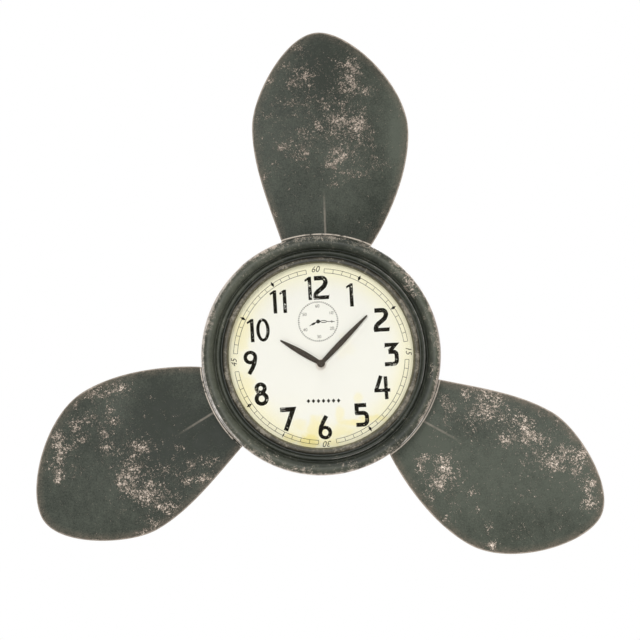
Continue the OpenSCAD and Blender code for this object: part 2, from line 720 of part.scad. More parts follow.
module motion_wheel() color("#e6e2d3") arbor_frame() translate(motion_at) difference() {
    union() {
        gear(motion_n, motion_module, motion_gear_z, gear_t, motion_turn);
        gear(motion_pinion_n, motion_module, motion_gear_z + gear_t, hour_gear_z - motion_gear_z + 0.2,
            motion_turn);
    }
    rod(0.75 + run_gap, motion_gear_z - 1, roof_z);
}

module set_knob() color("#d8d5c8") arbor_frame() translate(set_at) {
    gear(set_n, motion_module, motion_gear_z, gear_t, set_turn);
    rod(1.5, back_recess + 1, motion_gear_z + gear_t);
    gear(24, knob_d / 25.6, back_recess, knob_h - 0.3, 0);
}

// wheels that drive the minute arbor through its friction fit
module train_wheel(at, n, z, turn, pinion, pinion_z) translate(at) {
    gear(n, train_module, z, thin_t, turn);
    gear(pinion, train_module, pinion_z, pinion_t, turn);
    rod(arbor_r, pivot_z, plate_top);
}

module centre_wheel() color("#e6e2d3") arbor_frame() difference() {
    gear(centre_n, train_module, centre_z, thin_t, centre_turn);
    rod(minute_arbor_d / 2 + run_gap, centre_z - 1, centre_z + thin_t + 1);
}

module third_wheel() color("#e6e2d3") arbor_frame()
    train_wheel(third_at, third_n, third_z, third_turn, third_pinion_n, centre_z - pinion_lead);

module seconds_wheel() color("#e6e2d3") arbor_frame()
    train_wheel(seconds_at, seconds_n, seconds_z, seconds_turn, seconds_pinion_n, third_z - pinion_lead);

module intermediate_wheel() color("#e6e2d3") arbor_frame()
    train_wheel(inter_at, inter_n, inter_z, inter_turn, inter_pinion_n, seconds_z - pinion_lead);

module rotor() color("#55585c") arbor_frame() translate(rotor_at) {
    gear(rotor_n, train_module, inter_z - 0.2, thin_t + 0.4, 0);
    rod(magnet_r, stator_z - 0.6, stator_z + 1.4);
    rod(arbor_r, pivot_z, plate_top);
}

// electric parts
module stator() color("#9a9c9e") arbor_frame() translate([0, 0, stator_z]) linear_extrude(stator_t)
    difference() {
        union() {
            translate(rotor_at) circle(stator_ring_r);
            for (x = [leg_x, coil_at.x - leg_w / 2])
                translate([x, yoke_y]) square([leg_w, rotor_at.y - yoke_y]);
            translate([leg_x, yoke_y]) square([coil_at.x + leg_w / 2 - leg_x, yoke_w]);
        }
        translate(rotor_at) circle(magnet_r + 0.4);
    }

module coil() color("#a9602f") arbor_frame()
    translate([coil_at.x, coil_at.y, stator_z + stator_t / 2]) rotate([-90, 0, 0]) difference() {
        union() {
            rod(coil_r - 0.4, 0, coil_l);
            rod(coil_r, 0, 0.8);
            rod(coil_r, coil_l - 0.8, coil_l);
        }
        slab(-leg_w / 2 - weld_gap, leg_w / 2 + weld_gap, -stator_t / 2 - weld_gap, stator_t / 2 + weld_gap,
            -1, coil_l + 1);
    }

module circuit_board() color("#2f5b3c") arbor_frame() {
    translate([circuit_at.x, circuit_at.y, circuit_z]) cube([circuit_w, circuit_h, 1]);
    translate(circuit_at + [circuit_w, circuit_h] / 2) rod(2.5, circuit_z + 1, circuit_z + 1.8);
}

module contact_plus() color("#c9c9c4") arbor_frame() {
    slab(half_in - 0.4, half_in, cell_y - 4, cell_y + 4, cell_z - 4, cell_z + 5);
    translate([cell_l / 2 + 0.1, cell_y, cell_z]) rotate([0, 90, 0]) rod(1.5, 0, contact_room - 0.3);
}

module contact_minus() color("#c9c9c4") arbor_frame() {
    slab(-half_in, 0.4 - half_in, cell_y - 4, cell_y + 4, cell_z - 4, cell_z + 5);
    translate([-cell_l / 2 - 0.1, cell_y, cell_z]) rotate([0, -90, 0]) rod(1.5, 0, contact_room - 0.3);
}

module battery_cell() color("#b5762f") arbor_frame()
    translate([-cell_l / 2, cell_y, cell_z]) rotate([0, 90, 0]) {
        rod(cell_d / 2, 0, cell_l - 1.2);
        rod(2.7, cell_l - 1.2, cell_l);
    }

upright() bezel_ring();
upright() bezel_screws();
upright() trim_ring();
upright() lens();
upright() spacer_ring();
upright() dial_print();
upright() dial_board();
upright() board_screws();
upright() case_drum();
upright() case_brackets();
upright() back_plate();
upright() back_screws();
upright() hanger_plate();
upright() hanger_rivets();
upright() blade_top();
upright() blade_left();
upright() blade_right();
upright() saddle_top_blade();
upright() saddle_left_blade();
upright() saddle_right_blade();
upright() blade_bolts();
upright() blade_nuts();
upright() hour_hand();
upright() minute_hand();
upright() minute_cap();
upright() brass_washer();
upright() hex_nut();
upright() rubber_washer();
upright() movement_front();
upright() movement_back();
upright() movement_screws();
upright() train_plate();
upright() minute_arbor();
upright() hour_wheel();
upright() motion_wheel();
upright() set_knob();
upright() centre_wheel();
upright() third_wheel();
upright() seconds_wheel();
upright() intermediate_wheel();
upright() rotor();
upright() stator();
upright() coil();
upright() circuit_board();
upright() contact_plus();
upright() contact_minus();
upright() battery_cell();
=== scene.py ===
import json
import math
import bpy
import numpy as np
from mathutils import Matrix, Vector

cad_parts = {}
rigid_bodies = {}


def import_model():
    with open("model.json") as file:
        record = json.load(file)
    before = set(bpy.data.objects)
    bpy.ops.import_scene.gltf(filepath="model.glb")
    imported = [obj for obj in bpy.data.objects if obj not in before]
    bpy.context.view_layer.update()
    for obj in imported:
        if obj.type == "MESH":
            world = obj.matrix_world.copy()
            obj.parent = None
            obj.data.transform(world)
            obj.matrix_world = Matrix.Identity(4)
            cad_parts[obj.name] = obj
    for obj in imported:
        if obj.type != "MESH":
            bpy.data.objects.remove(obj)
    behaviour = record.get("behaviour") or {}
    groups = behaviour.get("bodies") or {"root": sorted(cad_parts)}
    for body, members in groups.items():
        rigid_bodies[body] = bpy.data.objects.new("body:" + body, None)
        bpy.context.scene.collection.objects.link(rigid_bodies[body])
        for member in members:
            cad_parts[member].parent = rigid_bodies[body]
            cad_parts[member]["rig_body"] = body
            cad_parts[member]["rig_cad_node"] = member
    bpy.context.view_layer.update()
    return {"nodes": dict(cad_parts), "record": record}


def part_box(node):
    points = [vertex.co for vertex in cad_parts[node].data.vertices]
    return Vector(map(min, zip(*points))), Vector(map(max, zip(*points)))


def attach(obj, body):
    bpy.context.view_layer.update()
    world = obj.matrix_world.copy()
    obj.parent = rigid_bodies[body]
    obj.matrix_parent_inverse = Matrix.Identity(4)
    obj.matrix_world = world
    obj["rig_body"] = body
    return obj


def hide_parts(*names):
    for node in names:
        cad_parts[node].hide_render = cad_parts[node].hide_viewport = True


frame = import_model()
nodes = frame["nodes"]
scene = bpy.context.scene
scene.view_settings.view_transform = "Standard"
print("frame loaded:", len(nodes), "nodes")

# fixed places taken from the frame, in metres
mm = 0.001
perMetre = 1000.0
bezelLow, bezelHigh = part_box("bezel_ring")
hub = Vector(((bezelLow.x + bezelHigh.x) / 2, 0, (bezelLow.z + bezelHigh.z) / 2))
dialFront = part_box("dial_print")[0].y
# how the picture lies on the clock: the hub's pixel, and millimetres of clock face to one pixel
hubPixel = (320.49, 355.03)
perPixel = 1.2531


def facePoint(px, py):  # picture pixel to (x, z) on the face of the clock
    return Vector((hub.x + (px - hubPixel[0]) * perPixel * mm, hub.z + (hubPixel[1] - py) * perPixel * mm))


# helpers for modelling

def clearSelection():
    if bpy.context.object and bpy.context.object.mode != "OBJECT":
        bpy.ops.object.mode_set(mode="OBJECT")
    bpy.ops.object.select_all(action="DESELECT")


def pick(*objs):
    clearSelection()
    for obj in objs:
        obj.select_set(True)
    bpy.context.view_layer.objects.active = objs[0]
    return objs[0]


def settle(piece):  # place and turn go into the mesh
    pick(piece)
    bpy.ops.object.transform_apply(location=True, rotation=True, scale=True)
    return piece


def joinAll(name, parts):
    pick(*parts)
    if len(parts) > 1:
        bpy.ops.object.join()
    piece = bpy.context.object
    piece.name = name
    return settle(piece)


def smooth(piece, degrees=35):
    pick(piece)
    bpy.ops.object.shade_smooth_by_angle(angle=math.radians(degrees))


def finishPiece(piece, material, body, stands=()):
    piece.data.materials.clear()
    piece.data.materials.append(material)
    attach(piece, body)
    if stands:
        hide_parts(*stands)
    return piece


def cadCopy(node, name):  # a merged copy of a CAD node, ready to be worked on
    pick(nodes[node])
    bpy.ops.object.duplicate()
    piece = bpy.context.object
    piece.name = name
    piece.parent = None
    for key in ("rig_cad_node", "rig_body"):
        if key in piece:
            del piece[key]
    bpy.ops.object.mode_set(mode="EDIT")
    bpy.ops.mesh.select_all(action="SELECT")
    bpy.ops.mesh.remove_doubles(threshold=2e-6)
    bpy.ops.mesh.tris_convert_to_quads()
    bpy.ops.object.mode_set(mode="OBJECT")
    if piece.data.has_custom_normals:
        bpy.ops.mesh.customdata_custom_splitnormals_clear()
    return piece


def roundEdges(piece, width, segments, sharpness):  # on the edges sharper than this many degrees
    pick(piece)
    bpy.ops.object.mode_set(mode="EDIT")
    bpy.ops.mesh.select_mode(type="EDGE")
    bpy.ops.mesh.select_all(action="DESELECT")
    bpy.ops.mesh.edges_select_sharp(sharpness=math.radians(sharpness))
    bpy.ops.mesh.bevel(offset=width, segments=segments, profile=0.5, clamp_overlap=True)
    bpy.ops.object.mode_set(mode="OBJECT")


def applyModifier(piece, kind, **values):
    pick(piece)
    made = piece.modifiers.new(kind.lower(), kind)
    for key, value in values.items():
        setattr(made, key, value)
    bpy.ops.object.modifier_apply(modifier=made.name)


def bendPoints(cx, cy, rx, ry, start, end, count=10):  # along part of an oval, in degrees
    turns = [math.radians(start + (end - start) * i / count) for i in range(count + 1)]
    return [(cx + rx * math.cos(a), cy + ry * math.sin(a)) for a in turns]


def arcPoints(cx, cy, radius, start, end, count):
    return bendPoints(cx, cy, radius, radius, start, end, count)


def ovalLoop(cx, cy, rx, ry, count=48):
    return bendPoints(cx, cy, rx, ry, 0, 360, count)[:-1]


def lathe(name, profile, steps):  # profile of (radius, height off the wall) in mm, closed
    clearSelection()
    first = profile[0]
    bpy.ops.mesh.primitive_plane_add(size=mm, location=(hub.x + first[0] * mm, -first[1] * mm, hub.z))
    piece = bpy.context.object
    piece.name = name
    bpy.ops.object.mode_set(mode="EDIT")
    bpy.ops.mesh.select_all(action="SELECT")
    bpy.ops.mesh.merge(type="CENTER")
    last = first
    for point in profile[1:] + [first]:
        move = ((point[0] - last[0]) * mm, (last[1] - point[1]) * mm, 0)
        bpy.ops.mesh.extrude_region_move(TRANSFORM_OT_translate={"value": move})
        last = point
    bpy.ops.mesh.select_all(action="SELECT")
    bpy.ops.mesh.remove_doubles(threshold=1e-7)
    bpy.ops.mesh.spin(steps=steps, angle=2 * math.pi, center=hub, axis=(0, 1, 0))
    bpy.ops.mesh.select_all(action="SELECT")
    bpy.ops.mesh.remove_doubles(threshold=1e-6)
    bpy.ops.mesh.normals_make_consistent(inside=False)
    bpy.ops.object.mode_set(mode="OBJECT")
    return settle(piece)


def meshValues(piece, kind="co"):  # the place or the normal of every vertex
    values = np.empty(len(piece.data.vertices) * 3)
    piece.data.vertices.foreach_get(kind, values)
    return values.reshape(-1, 3)


def storeValues(piece, name, values):
    made = piece.data.attributes.new(name, "FLOAT", "POINT")
    made.data.foreach_set("value", np.asarray(values, np.float32))


wearFade, shadeFade = 0.62, 0.8  # how fast an oval fades outwards
arcEnd, lineEnd = 24, 6  # degrees over which an arc of shade or a line fades out


def ovalDistance(x, z, px, py, wide, high):  # squared, and 1 on the oval; x and z are arrays or wires
    centre = facePoint(px, py)
    dx = (x - centre.x) / (wide * perPixel * mm)
    dz = (z - centre.y) / (high * perPixel * mm)
    return dx * dx + dz * dz


def blotches(points, spots):  # how worn each point is, from listed ovals (px, py, wide, high, strength)
    left = np.ones(len(points))
    for *oval, strength in spots:
        left *= 1 - strength * np.exp(-wearFade * ovalDistance(points[:, 0], points[:, 2], *oval))
    return 1 - left


# painted light and shade with paint tone, in soft ovals
def shading(points, spots):  # soft lighter or darker places (px, py, wide, high, amount)
    tone = np.zeros(len(points))
    for *oval, amount in spots:
        tone += amount * np.exp(-shadeFade * ovalDistance(points[:, 0], points[:, 2], *oval))
    return tone


def arcFade(points, middle, half, soft):  # 1 within an arc round the hub, fading out at its ends
    angles = np.degrees(np.arctan2(points[:, 2] - hub.z, points[:, 0] - hub.x))
    away = np.abs((angles - middle + 180) % 360 - 180)
    return np.clip((half - away) / soft + 0.5, 0, 1)


# painted light and shade in arcs round the hub
def arcShading(points, arcs):  # lighter or darker arcs (degrees, half width, radius, reach, amount)
    radii = np.hypot(points[:, 0] - hub.x, points[:, 2] - hub.z) / mm
    tone = np.zeros(len(points))
    for middle, half, radius, reach, amount in arcs:
        tone += amount * arcFade(points, middle, half, arcEnd) * np.exp(-((radii - radius) / reach) ** 2)
    return tone


# shader wiring

def operators(name):  # a Math node's operation as an operator, and its reflected form
    return (lambda self, other: self.maths(name, self, other)), (lambda self, other: self.maths(name, other, self))


class Wire:
    __add__, __radd__ = operators("ADD")
    __sub__, __rsub__ = operators("SUBTRACT")
    __mul__, __rmul__ = operators("MULTIPLY")
    __truediv__, __rtruediv__ = operators("DIVIDE")
    __pow__, __rpow__ = operators("POWER")

    def __init__(self, tree, socket=None):
        self.tree = tree
        self.socket = socket

    def node(self, kind, settings=None, sockets=None, output=0):
        made = self.tree.nodes.new(kind)
        for key, value in (settings or {}).items():
            setattr(made, key, value)
        for key, value in (sockets or {}).items():
            if isinstance(value, Wire):
                self.tree.links.new(value.socket, made.inputs[key])
            else:
                made.inputs[key].default_value = value
        return Wire(self.tree, made.outputs[output])

    def maths(self, operation, first, second=0.0):
        return self.node("ShaderNodeMath", {"operation": operation}, {0: first, 1: second})

    def __abs__(self):
        return self.maths("ABSOLUTE", self)

    def most(self, other):
        return self.maths("MAXIMUM", self, other)

    def swing(self, amount):  # a noise about its middle
        return (self - 0.5) * amount

    def step(self, low, high):  # soft step from 0 at low to 1 at high
        sockets = {"Value": self, "From Min": low, "From Max": high, "To Min": 0.0, "To Max": 1.0}
        if low > high:
            sockets.update({"From Min": high, "From Max": low, "To Min": 1.0, "To Max": 0.0})
        return self.node("ShaderNodeMapRange", {"interpolation_type": "SMOOTHSTEP"}, sockets)

    def bump(self, centre, width):  # 1 at the centre, 0 past the width
        return abs(self - centre).step(width, 0.0)

    def colour(self, first, second):  # this value blends the first colour to the second
        def full(c):
            return c if isinstance(c, Wire) else (c[0], c[1], c[2], 1.0)
        return self.node("ShaderNodeMix", {"data_type": "RGBA"}, {0: self, 6: full(first), 7: full(second)}, 2)

    def place(self):  # Object coordinates
        return self.node("ShaderNodeTexCoord", output="Object")

    def stretched(self, scale):
        return self.node("ShaderNodeMapping", {}, {"Vector": self, "Scale": scale})

    def noise(self, scale, detail=3.0, rough=0.5, twist=0.0):  # this wire is the place
        return self.node("ShaderNodeTexNoise", {}, {"Vector": self, "Scale": scale, "Detail": detail,
                         "Roughness": rough, "Distortion": twist})

    def value(self, name):  # a value stored on the mesh
        return self.node("ShaderNodeAttribute", {"attribute_name": name}, output="Fac")

    def axis(self, name):
        return self.node("ShaderNodeSeparateXYZ", {}, {0: self}, name)


def newFinish(name, shine=0.5, constants=None):  # a material, and the wire of its places
    made = bpy.data.materials.new(name)
    made.use_nodes = True
    shader = made.node_tree.nodes["Principled BSDF"]
    for socket, value in {"Specular IOR Level": shine, **(constants or {})}.items():
        shader.inputs[socket].default_value = value
    return made, Wire(made.node_tree).place()


def feed(made, colour, rough, height=None, strength=0.0, distance=0.0, **others):  # the height gives a bump
    wires = {"Base Color": colour, "Roughness": rough, **others}
    if height is not None:
        sockets = {"Height": height, "Strength": strength, "Distance": distance}
        wires["Normal"] = height.node("ShaderNodeBump", {}, sockets)
    for socket, wire in wires.items():
        if wire is not None:
            made.node_tree.links.new(wire.socket, made.node_tree.nodes["Principled BSDF"].inputs[socket])
    return made


def hubRadius(place):  # millimetres from the hub axis
    dx = place.axis("X") * perMetre - hub.x * perMetre
    dz = place.axis("Z") * perMetre - hub.z * perMetre
    return (dx * dx + dz * dz) ** 0.5


def layers(colour, *coats):  # each coat is a mask and the colour that it brings
    for mask, coat in coats:
        colour = mask.colour(colour, coat)
    return colour


def mostOf(wires):
    whole = wires[0]
    for wire in wires[1:]:
        whole = whole.most(wire)
    return whole


# finishes

bladeLook = {
    "dark": (0.0185, 0.0230, 0.0162),
    "pale": (0.080, 0.090, 0.070),
    "flake": (0.49, 0.405, 0.335),
    "brightFlake": (0.86, 0.75, 0.64),
    "primer": (0.115, 0.092, 0.072),
    "rubbed": (0.185, 0.142, 0.107),
    "rim": (0.40, 0.34, 0.285),
    # the pale line on the fold, a painted highlight on its ridge
    "fold": (0.32, 0.28, 0.23),
    "speckle": 470.0,
    "roughness": 0.5,
    # in mm: how far the edges are rubbed, the fold's line (across, along, slant) and end, the ring at the hub
    "rimReach": (2.3, 0.4),
    "rubReach": 12.5,
    "foldLine": (5.5, 150.0, 0.033),
    "foldEnd": (212.0, 165.0),
    "rootRing": (152.2, 1.3),
}


def bladePaint():
    look = bladeLook
    made, place = newFinish("bladePaint", 0.16)
    wear, tone, edge, gleam, rub = (place.value(name) for name in ("wear", "tone", "edge", "gleam", "rub"))
    across, along, front = (place.value(name) for name in ("across", "along", "front"))
    broad = place.noise(11.0, 3.0, 0.55)
    cloth = place.noise(95.0, 3.0, 0.6)
    grain = place.noise(560.0, 3.0, 0.7)
    # the tone attribute brings painted light and shade with paint tone
    shade = broad.swing(0.85) + cloth.swing(0.85) + grain.swing(1.7) + tone
    paint = (shade + 0.335).colour(look["dark"], look["pale"])
    # flakes: a fine broken pattern that opens up where the wear is dense
    fine = place.noise(look["speckle"], 6.0, 0.74, 0.9)
    patch = place.noise(130.0, 4.0, 0.62, 0.6)
    level = wear * 0.32 + fine.swing(1.6) + patch.swing(0.55)
    stain = level.step(0.22, 0.30)
    curl = abs(place.noise(330.0, 3.0, 0.6, 1.1) - 0.5).step(0.035, 0.012)
    curl = curl * (wear * 0.55 + patch.swing(1.6)).step(0.3, 0.5)
    flake = level.step(0.295, 0.32).most(curl * 0.45)
    bright = level.step(0.38, 0.46) * gleam
    # loose specks all over
    speck = place.noise(240.0, 4.0, 0.6, 0.3)
    strays = (speck + patch.swing(0.25)).step(0.735, 0.775)
    # rubbed edges, painted paler on the right as the lit side, and the pressed fold at the root with a pale line, a
    # painted highlight on its ridge
    rim = (edge + cloth.swing(3.0) + fine.swing(3.0)).step(*look["rimReach"])
    litRightSide = place.axis("X").step(0.0, 0.02)
    halo = edge.step(look["rubReach"], 0.0) * rub * (1.0 + litRightSide * 0.25)
    halo = halo * (1.05 + cloth.swing(2.2) + patch.swing(3.0) + grain.swing(4.5))
    foldAcross, foldAlong, slant = look["foldLine"]
    fold = abs(across - foldAcross + (along - foldAlong) * slant).step(1.9, 0.5) * along.step(*look["foldEnd"])
    fold = fold * (cloth * 1.6 - 0.1) * (0.4 + front * 0.6)
    root = hubRadius(place).bump(*look["rootRing"]) * (cloth.swing(3.0) + 0.7).step(0.2, 0.7) * front
    chips = (flake * (0.35 + gleam * 0.65)).colour(look["primer"], look["flake"])
    chips = bright.colour(chips, look["brightFlake"])
    colour = layers(paint, (halo, look["rubbed"]), (stain * 0.5, chips), (flake, chips), (strays * 0.8, look["flake"]),
                    (rim * (0.72 + litRightSide * 0.28), look["rim"]), (fold * 0.68, look["fold"]),
                    (root * 0.9, look["brightFlake"]))
    bare = flake.most(rim * 0.6).most(strays)
    rough = look["roughness"] + bare * 0.25 + cloth.swing(0.2)
    return feed(made, colour, rough, bare * -0.6 + grain * 0.25 + broad * 2.0, 0.5, 0.0006)


hubLook = {
    # dark paint, painted as shade where it shows in the bezel's valley and grooves
    "darkPaintAndShade": (0.0180, 0.0212, 0.0148),
    "paint": (0.0725, 0.0775, 0.0565),
    "rubbed": (0.20, 0.178, 0.142),
    "flake": (0.50, 0.415, 0.345),
    "bare": (0.56, 0.47, 0.395),
    "hairline": (0.93, 0.87, 0.82),
    # radius and reach in mm of what the tone and the lines follow; the tone is a painted highlight on the roll and the
    # bead, and a painted shade in the groove
    "roll": (144.5, 11.0),
    "bead": (129.0, 1.6),
    "groove": (124.6, 1.9),
    "line": (149.8, 0.95),
    "secondLine": (147.7, 1.8),
    "beadLine": (130.0, 0.3),
    # from radius to radius, or from height to height
    "outside": (138.0, 149.5),
    "lip": (149.4, 151.6),
    "front": (46.5, 49.5),
    "lineFront": (45.5, 47.5),
}


def hubPaint():
    look = hubLook
    made, place = newFinish("hubPaint", 0.25)
    radius = hubRadius(place)
    height = 0.0 - place.axis("Y") * perMetre
    cloud = place.noise(26.0, 4.0, 0.6, 0.3)
    fine = place.noise(500.0, 6.0, 0.7, 1.0)
    cloth = place.noise(120.0, 4.0, 0.65)
    # painted highlight on the crests of the roll and the bead, painted light and shade from the tone attribute, and
    # painted shade in the groove
    rise = radius.bump(*look["roll"]).most(radius.bump(*look["bead"]) * 0.12)
    tone = rise * 0.62 + cloud.swing(0.9) + cloth.swing(1.5) + fine.swing(1.2) + place.value("tone")
    tone = tone - radius.bump(*look["groove"]) * 0.35 + 0.22
    outside = radius.step(*look["outside"])
    rub = (outside * 0.2 + fine.swing(1.3) + cloth.swing(0.7) + cloud.swing(0.8)).step(0.2, 0.34)
    level = place.value("wear") * 0.31 + fine.swing(1.25) + cloth.swing(0.6)
    speck = place.noise(640.0, 3.0, 0.6).step(0.655, 0.70) * outside * 0.7
    flake = level.step(0.27, 0.34).most(speck)
    # bare metal at the lip, and thin bright lines on the edge and the bead; the bead's line is rubbed paint and a
    # painted highlight
    lip = radius + place.value("bare") * 1.2 + cloud.swing(3.0) + cloth.swing(7.0) + fine.swing(17.0)
    lip = lip.step(*look["lip"]) * height.step(*look["front"])
    names = ("line", "secondLine", "beadLine")
    edge, second, bead = (radius.bump(*look[name]) * place.value(name) for name in names)
    thin = (edge.most(second) * height.step(*look["lineFront"])).most(bead) * (1.25 + cloth.swing(3.4))
    colour = layers(look["darkPaintAndShade"], (tone, look["paint"]), (rub, look["rubbed"]), (flake, look["flake"]),
                    (lip * 0.75, look["bare"]), (thin, look["hairline"]))
    rough = 0.46 + flake * 0.25 + cloth.swing(0.25)
    return feed(made, colour, rough, flake * -0.6 + fine * 0.4 + cloud, 0.5, 0.0005)


def plainHubPaint():  # the same paint where little of it is rubbed
    look = hubLook
    made, place = newFinish("plainHubPaint", 0.35)
    cloud = place.noise(26.0, 4.0, 0.6, 0.3)
    fine = place.noise(330.0, 6.0, 0.68, 0.5)
    tone = cloud * 1.4 - 0.2 + fine.swing(0.6)
    flake = (fine.swing(1.15) + cloud.swing(0.9)).step(0.25, 0.33)
    colour = layers(look["darkPaintAndShade"], (tone, look["paint"]), (flake, look["flake"]))
    return feed(made, colour, 0.5 + flake * 0.2 + fine.swing(0.2), flake * -0.6 + fine * 0.4, 0.4, 0.0004)


trimLook = {
    "dark": (0.016, 0.015, 0.010),
    "brown": (0.072, 0.063, 0.041),
    "rubbed": (0.228, 0.205, 0.163),
    # painted reflection of the dial on the ring's inner edge
    "dialReflection": (0.15, 0.135, 0.066),
    # from radius to radius in mm
    "rise": (115.8, 117.6),
    "fall": (123.6, 121.6),
    "innerEdge": (118.4, 116.2),
}


def trimPaint():
    look = trimLook
    made, place = newFinish("trimPaint", 0.4)
    radius = hubRadius(place)
    cloud = place.noise(34.0, 4.0, 0.6, 0.4)
    fine = place.noise(420.0, 6.0, 0.7, 0.6)
    cloth = place.noise(140.0, 4.0, 0.65)
    # painted light and shade: lighter across the crest and darker on the slopes at both edges, with rubbed paint on
    # the crest; the tone attribute adds more painted light and shade
    crest = radius.step(*look["rise"]) * radius.step(*look["fall"])
    mark = place.value("tone")
    tone = crest * 0.7 + cloud.swing(1.5) + cloth.swing(1.5) + fine.swing(1.3) + mark
    rub = crest * 0.2 + mark * 0.2 + fine.swing(1.2) + cloth.swing(0.9) + cloud.swing(0.7)
    rub = rub.step(0.2, 0.38)
    # the inner edge takes the painted reflection of the dial
    colour = layers(look["dark"], (tone, look["brown"]), (rub, look["rubbed"]),
                    (radius.step(*look["innerEdge"]) * 0.6, look["dialReflection"]))
    return feed(made, colour, 0.5 + rub * 0.2 + cloth.swing(0.2), rub * -0.4 + fine * 0.5, 0.5, 0.0004)


paperLook = {
    "cream": (0.882, 0.87, 0.79),
    "aged": (0.95, 0.905, 0.66),
    "stain": (0.92, 0.80, 0.28),
    # ink colours, and how soon each one chips
    "ink": ((0.0045, 0.0036, 0.0012), 0.63),
    "fineInk": ((0.022, 0.020, 0.015), 0.74),
    "faintInk": ((0.07, 0.06, 0.045), 0.76),
    "ageing": (73.0, 116.0),  # from radius to radius in mm
    "lowAgeing": (30.0, 90.0),  # below the hub: where it starts, and over what height
    # a painted shadow round the arbor
    "arborShadow": ((320.3, 364.6), 8.0, (0.50, 0.41, 0.35)),  # round the arbor: place, radius, colour
    # where the ink itself is badly worn: px, py, radius
    "lost": [(281.8, 409.5, 4.0), (351.0, 287.0, 2.0), (250.0, 353.5, 4.5), (266.5, 325.5, 4.5), (250.5, 320.0, 4.0),
             (312.0, 296.5, 4.0), (284.5, 306.0, 3.5), (252.5, 374.0, 3.5), (308.0, 284.0, 3.5)],
    # px, py, half width, half height, strength
    "stains": [(309, 440, 12, 7, 0.95), (291, 437, 9, 5, 0.6), (352, 422, 13, 4, 0.6), (374, 418, 16, 4, 0.6),
               (340, 415, 5, 9, 0.4), (358, 397, 5, 6, 0.35), (316, 427, 9, 12, 0.55), (334, 442, 14, 4, 0.4),
               (246, 390, 9, 22, 0.35), (241, 330, 8, 22, 0.3), (300, 424, 8, 6, 0.3), (345, 345, 10, 12, 0.12),
               (338, 430, 14, 7, 0.35)],
}


def paperColour(place):
    look = paperLook
    x, z = place.axis("X"), place.axis("Z")
    cloud = place.noise(22.0, 4.0, 0.6, 0.3)
    fibre = place.noise(900.0, 3.0, 0.6)
    blur = place.noise(75.0, 4.0, 0.6, 0.4)
    age = hubRadius(place).step(*look["ageing"]) ** 1.4 * (0.6 + cloud * 1.05) + cloud.swing(0.14)
    start, over = look["lowAgeing"]
    low = (hub.z * perMetre - start - z * perMetre).step(0.0, over)
    blot = mostOf([(ovalDistance(x, z, *oval) + blur.swing(4.5)).step(1.5, 0.0) * strength
                   for *oval, strength in look["stains"]])
    # painted shadow round the arbor, a soft brown disc
    spot, reach, shade = look["arborShadow"]
    ring = (ovalDistance(x, z, *spot, 1 / perPixel, 1 / perPixel) ** 0.5).step(reach, reach - 2.6)
    return fibre, layers(look["cream"], (age + low * cloud * 0.5, look["aged"]),
                         (blot * (0.35 + blur * 1.1), look["stain"]), (ring * 0.42, shade))


def paper():
    made, place = newFinish("dialPaper", 0.2)
    fibre, colour = paperColour(place)
    return feed(made, colour, 0.62 + fibre * 0.2, fibre, 0.12, 0.0001)


def ink(name, shade, worn):  # printed ink with chips that let the paper through
    made, place = newFinish(name, 0.05)
    fibre, colour = paperColour(place)
    x, z = place.axis("X"), place.axis("Z")
    chip = place.noise(520.0, 5.0, 0.7, 0.8)
    patch = place.noise(95.0, 3.0, 0.6)
    lost = mostOf([ovalDistance(x, z, px, py, reach, reach).step(1.0, 0.2) for px, py, reach in paperLook["lost"]])
    gone = (chip + patch.swing(0.5) + lost * 0.10).step(worn, worn + 0.05)
    thin = place.noise(1500.0, 2.0, 0.6).colour(shade, [c * 1.9 + 0.002 for c in shade])
    return feed(made, gone.colour(thin, colour), 0.55 + fibre * 0.2)


def glass():
    made, place = newFinish("lensGlass", 0.5, {"Base Color": (0.03, 0.035, 0.035, 1)})
    smear = place.noise(14.0, 4.0, 0.6, 0.5)
    return feed(made, None, 0.04 + smear * 0.08, Alpha=0.018 + smear * 0.02)


def mottled(name, dark, pale, scale, roughness, metallic=0.0, depth=0.0002, stretch=(1, 1, 1), shine=0.5):
    made, place = newFinish(name, shine, {"Metallic": metallic})
    place = place.stretched(stretch)
    coarse = place.noise(scale, 4.0, 0.6, 0.3)
    fine = place.noise(scale * 9, 4.0, 0.65)
    tone = coarse * 1.3 + fine.swing(0.7) - 0.15
    return feed(made, tone.colour(dark, pale), roughness + fine.swing(0.3), fine * 0.6 + coarse, 0.4, depth)


boardLook = {"dark": (0.115, 0.067, 0.032), "pale": (0.29, 0.185, 0.10), "fleck": (0.055, 0.032, 0.016)}


def fibreboard():  # pressed brown board: short fibres in all directions and dark flecks
    look = boardLook
    made, place = newFinish("fibreboard", 0.3)
    cloud = place.noise(10.0, 3.0, 0.5)
    upright = place.stretched((1, 1, 0.3)).noise(520.0, 4.0, 0.65, 0.9)
    level = place.stretched((0.3, 1, 1)).noise(520.0, 4.0, 0.65, 0.9)
    fleck = place.noise(380.0, 3.0, 0.6)
    tone = cloud.swing(0.45) + upright.swing(0.6) + level.swing(0.6) + fleck.swing(0.6) + 0.5
    colour = layers(look["dark"], (tone, look["pale"]), (fleck.step(0.62, 0.70) * 0.6, look["fleck"]))
    return feed(made, colour, 0.7 + fleck.swing(0.3), upright + level + fleck * 0.5, 0.35, 0.0003)


cellLook = {
    "black": (0.018, 0.018, 0.02), "copper": (0.42, 0.20, 0.055),
    "metal": ((0.5, 0.5, 0.5), (0.68, 0.68, 0.66)),
    "bandStart": 13.0, "middle": -0.6, "capStart": 23.6,  # mm along the cell
}


def cellJacket():
    look = cellLook
    made, place = newFinish("cellJacket")
    along = place.axis("X") * perMetre
    fine = place.noise(400.0, 3.0, 0.6)
    cap = abs(along - look["middle"]).step(look["capStart"], look["capStart"] + 0.2)
    band = along.step(look["bandStart"], look["bandStart"] + 0.3)
    colour = layers(look["black"], (band, look["copper"]), (cap, fine.colour(*look["metal"])))
    return feed(made, colour, 0.3 + fine.swing(0.25), Metallic=cap)


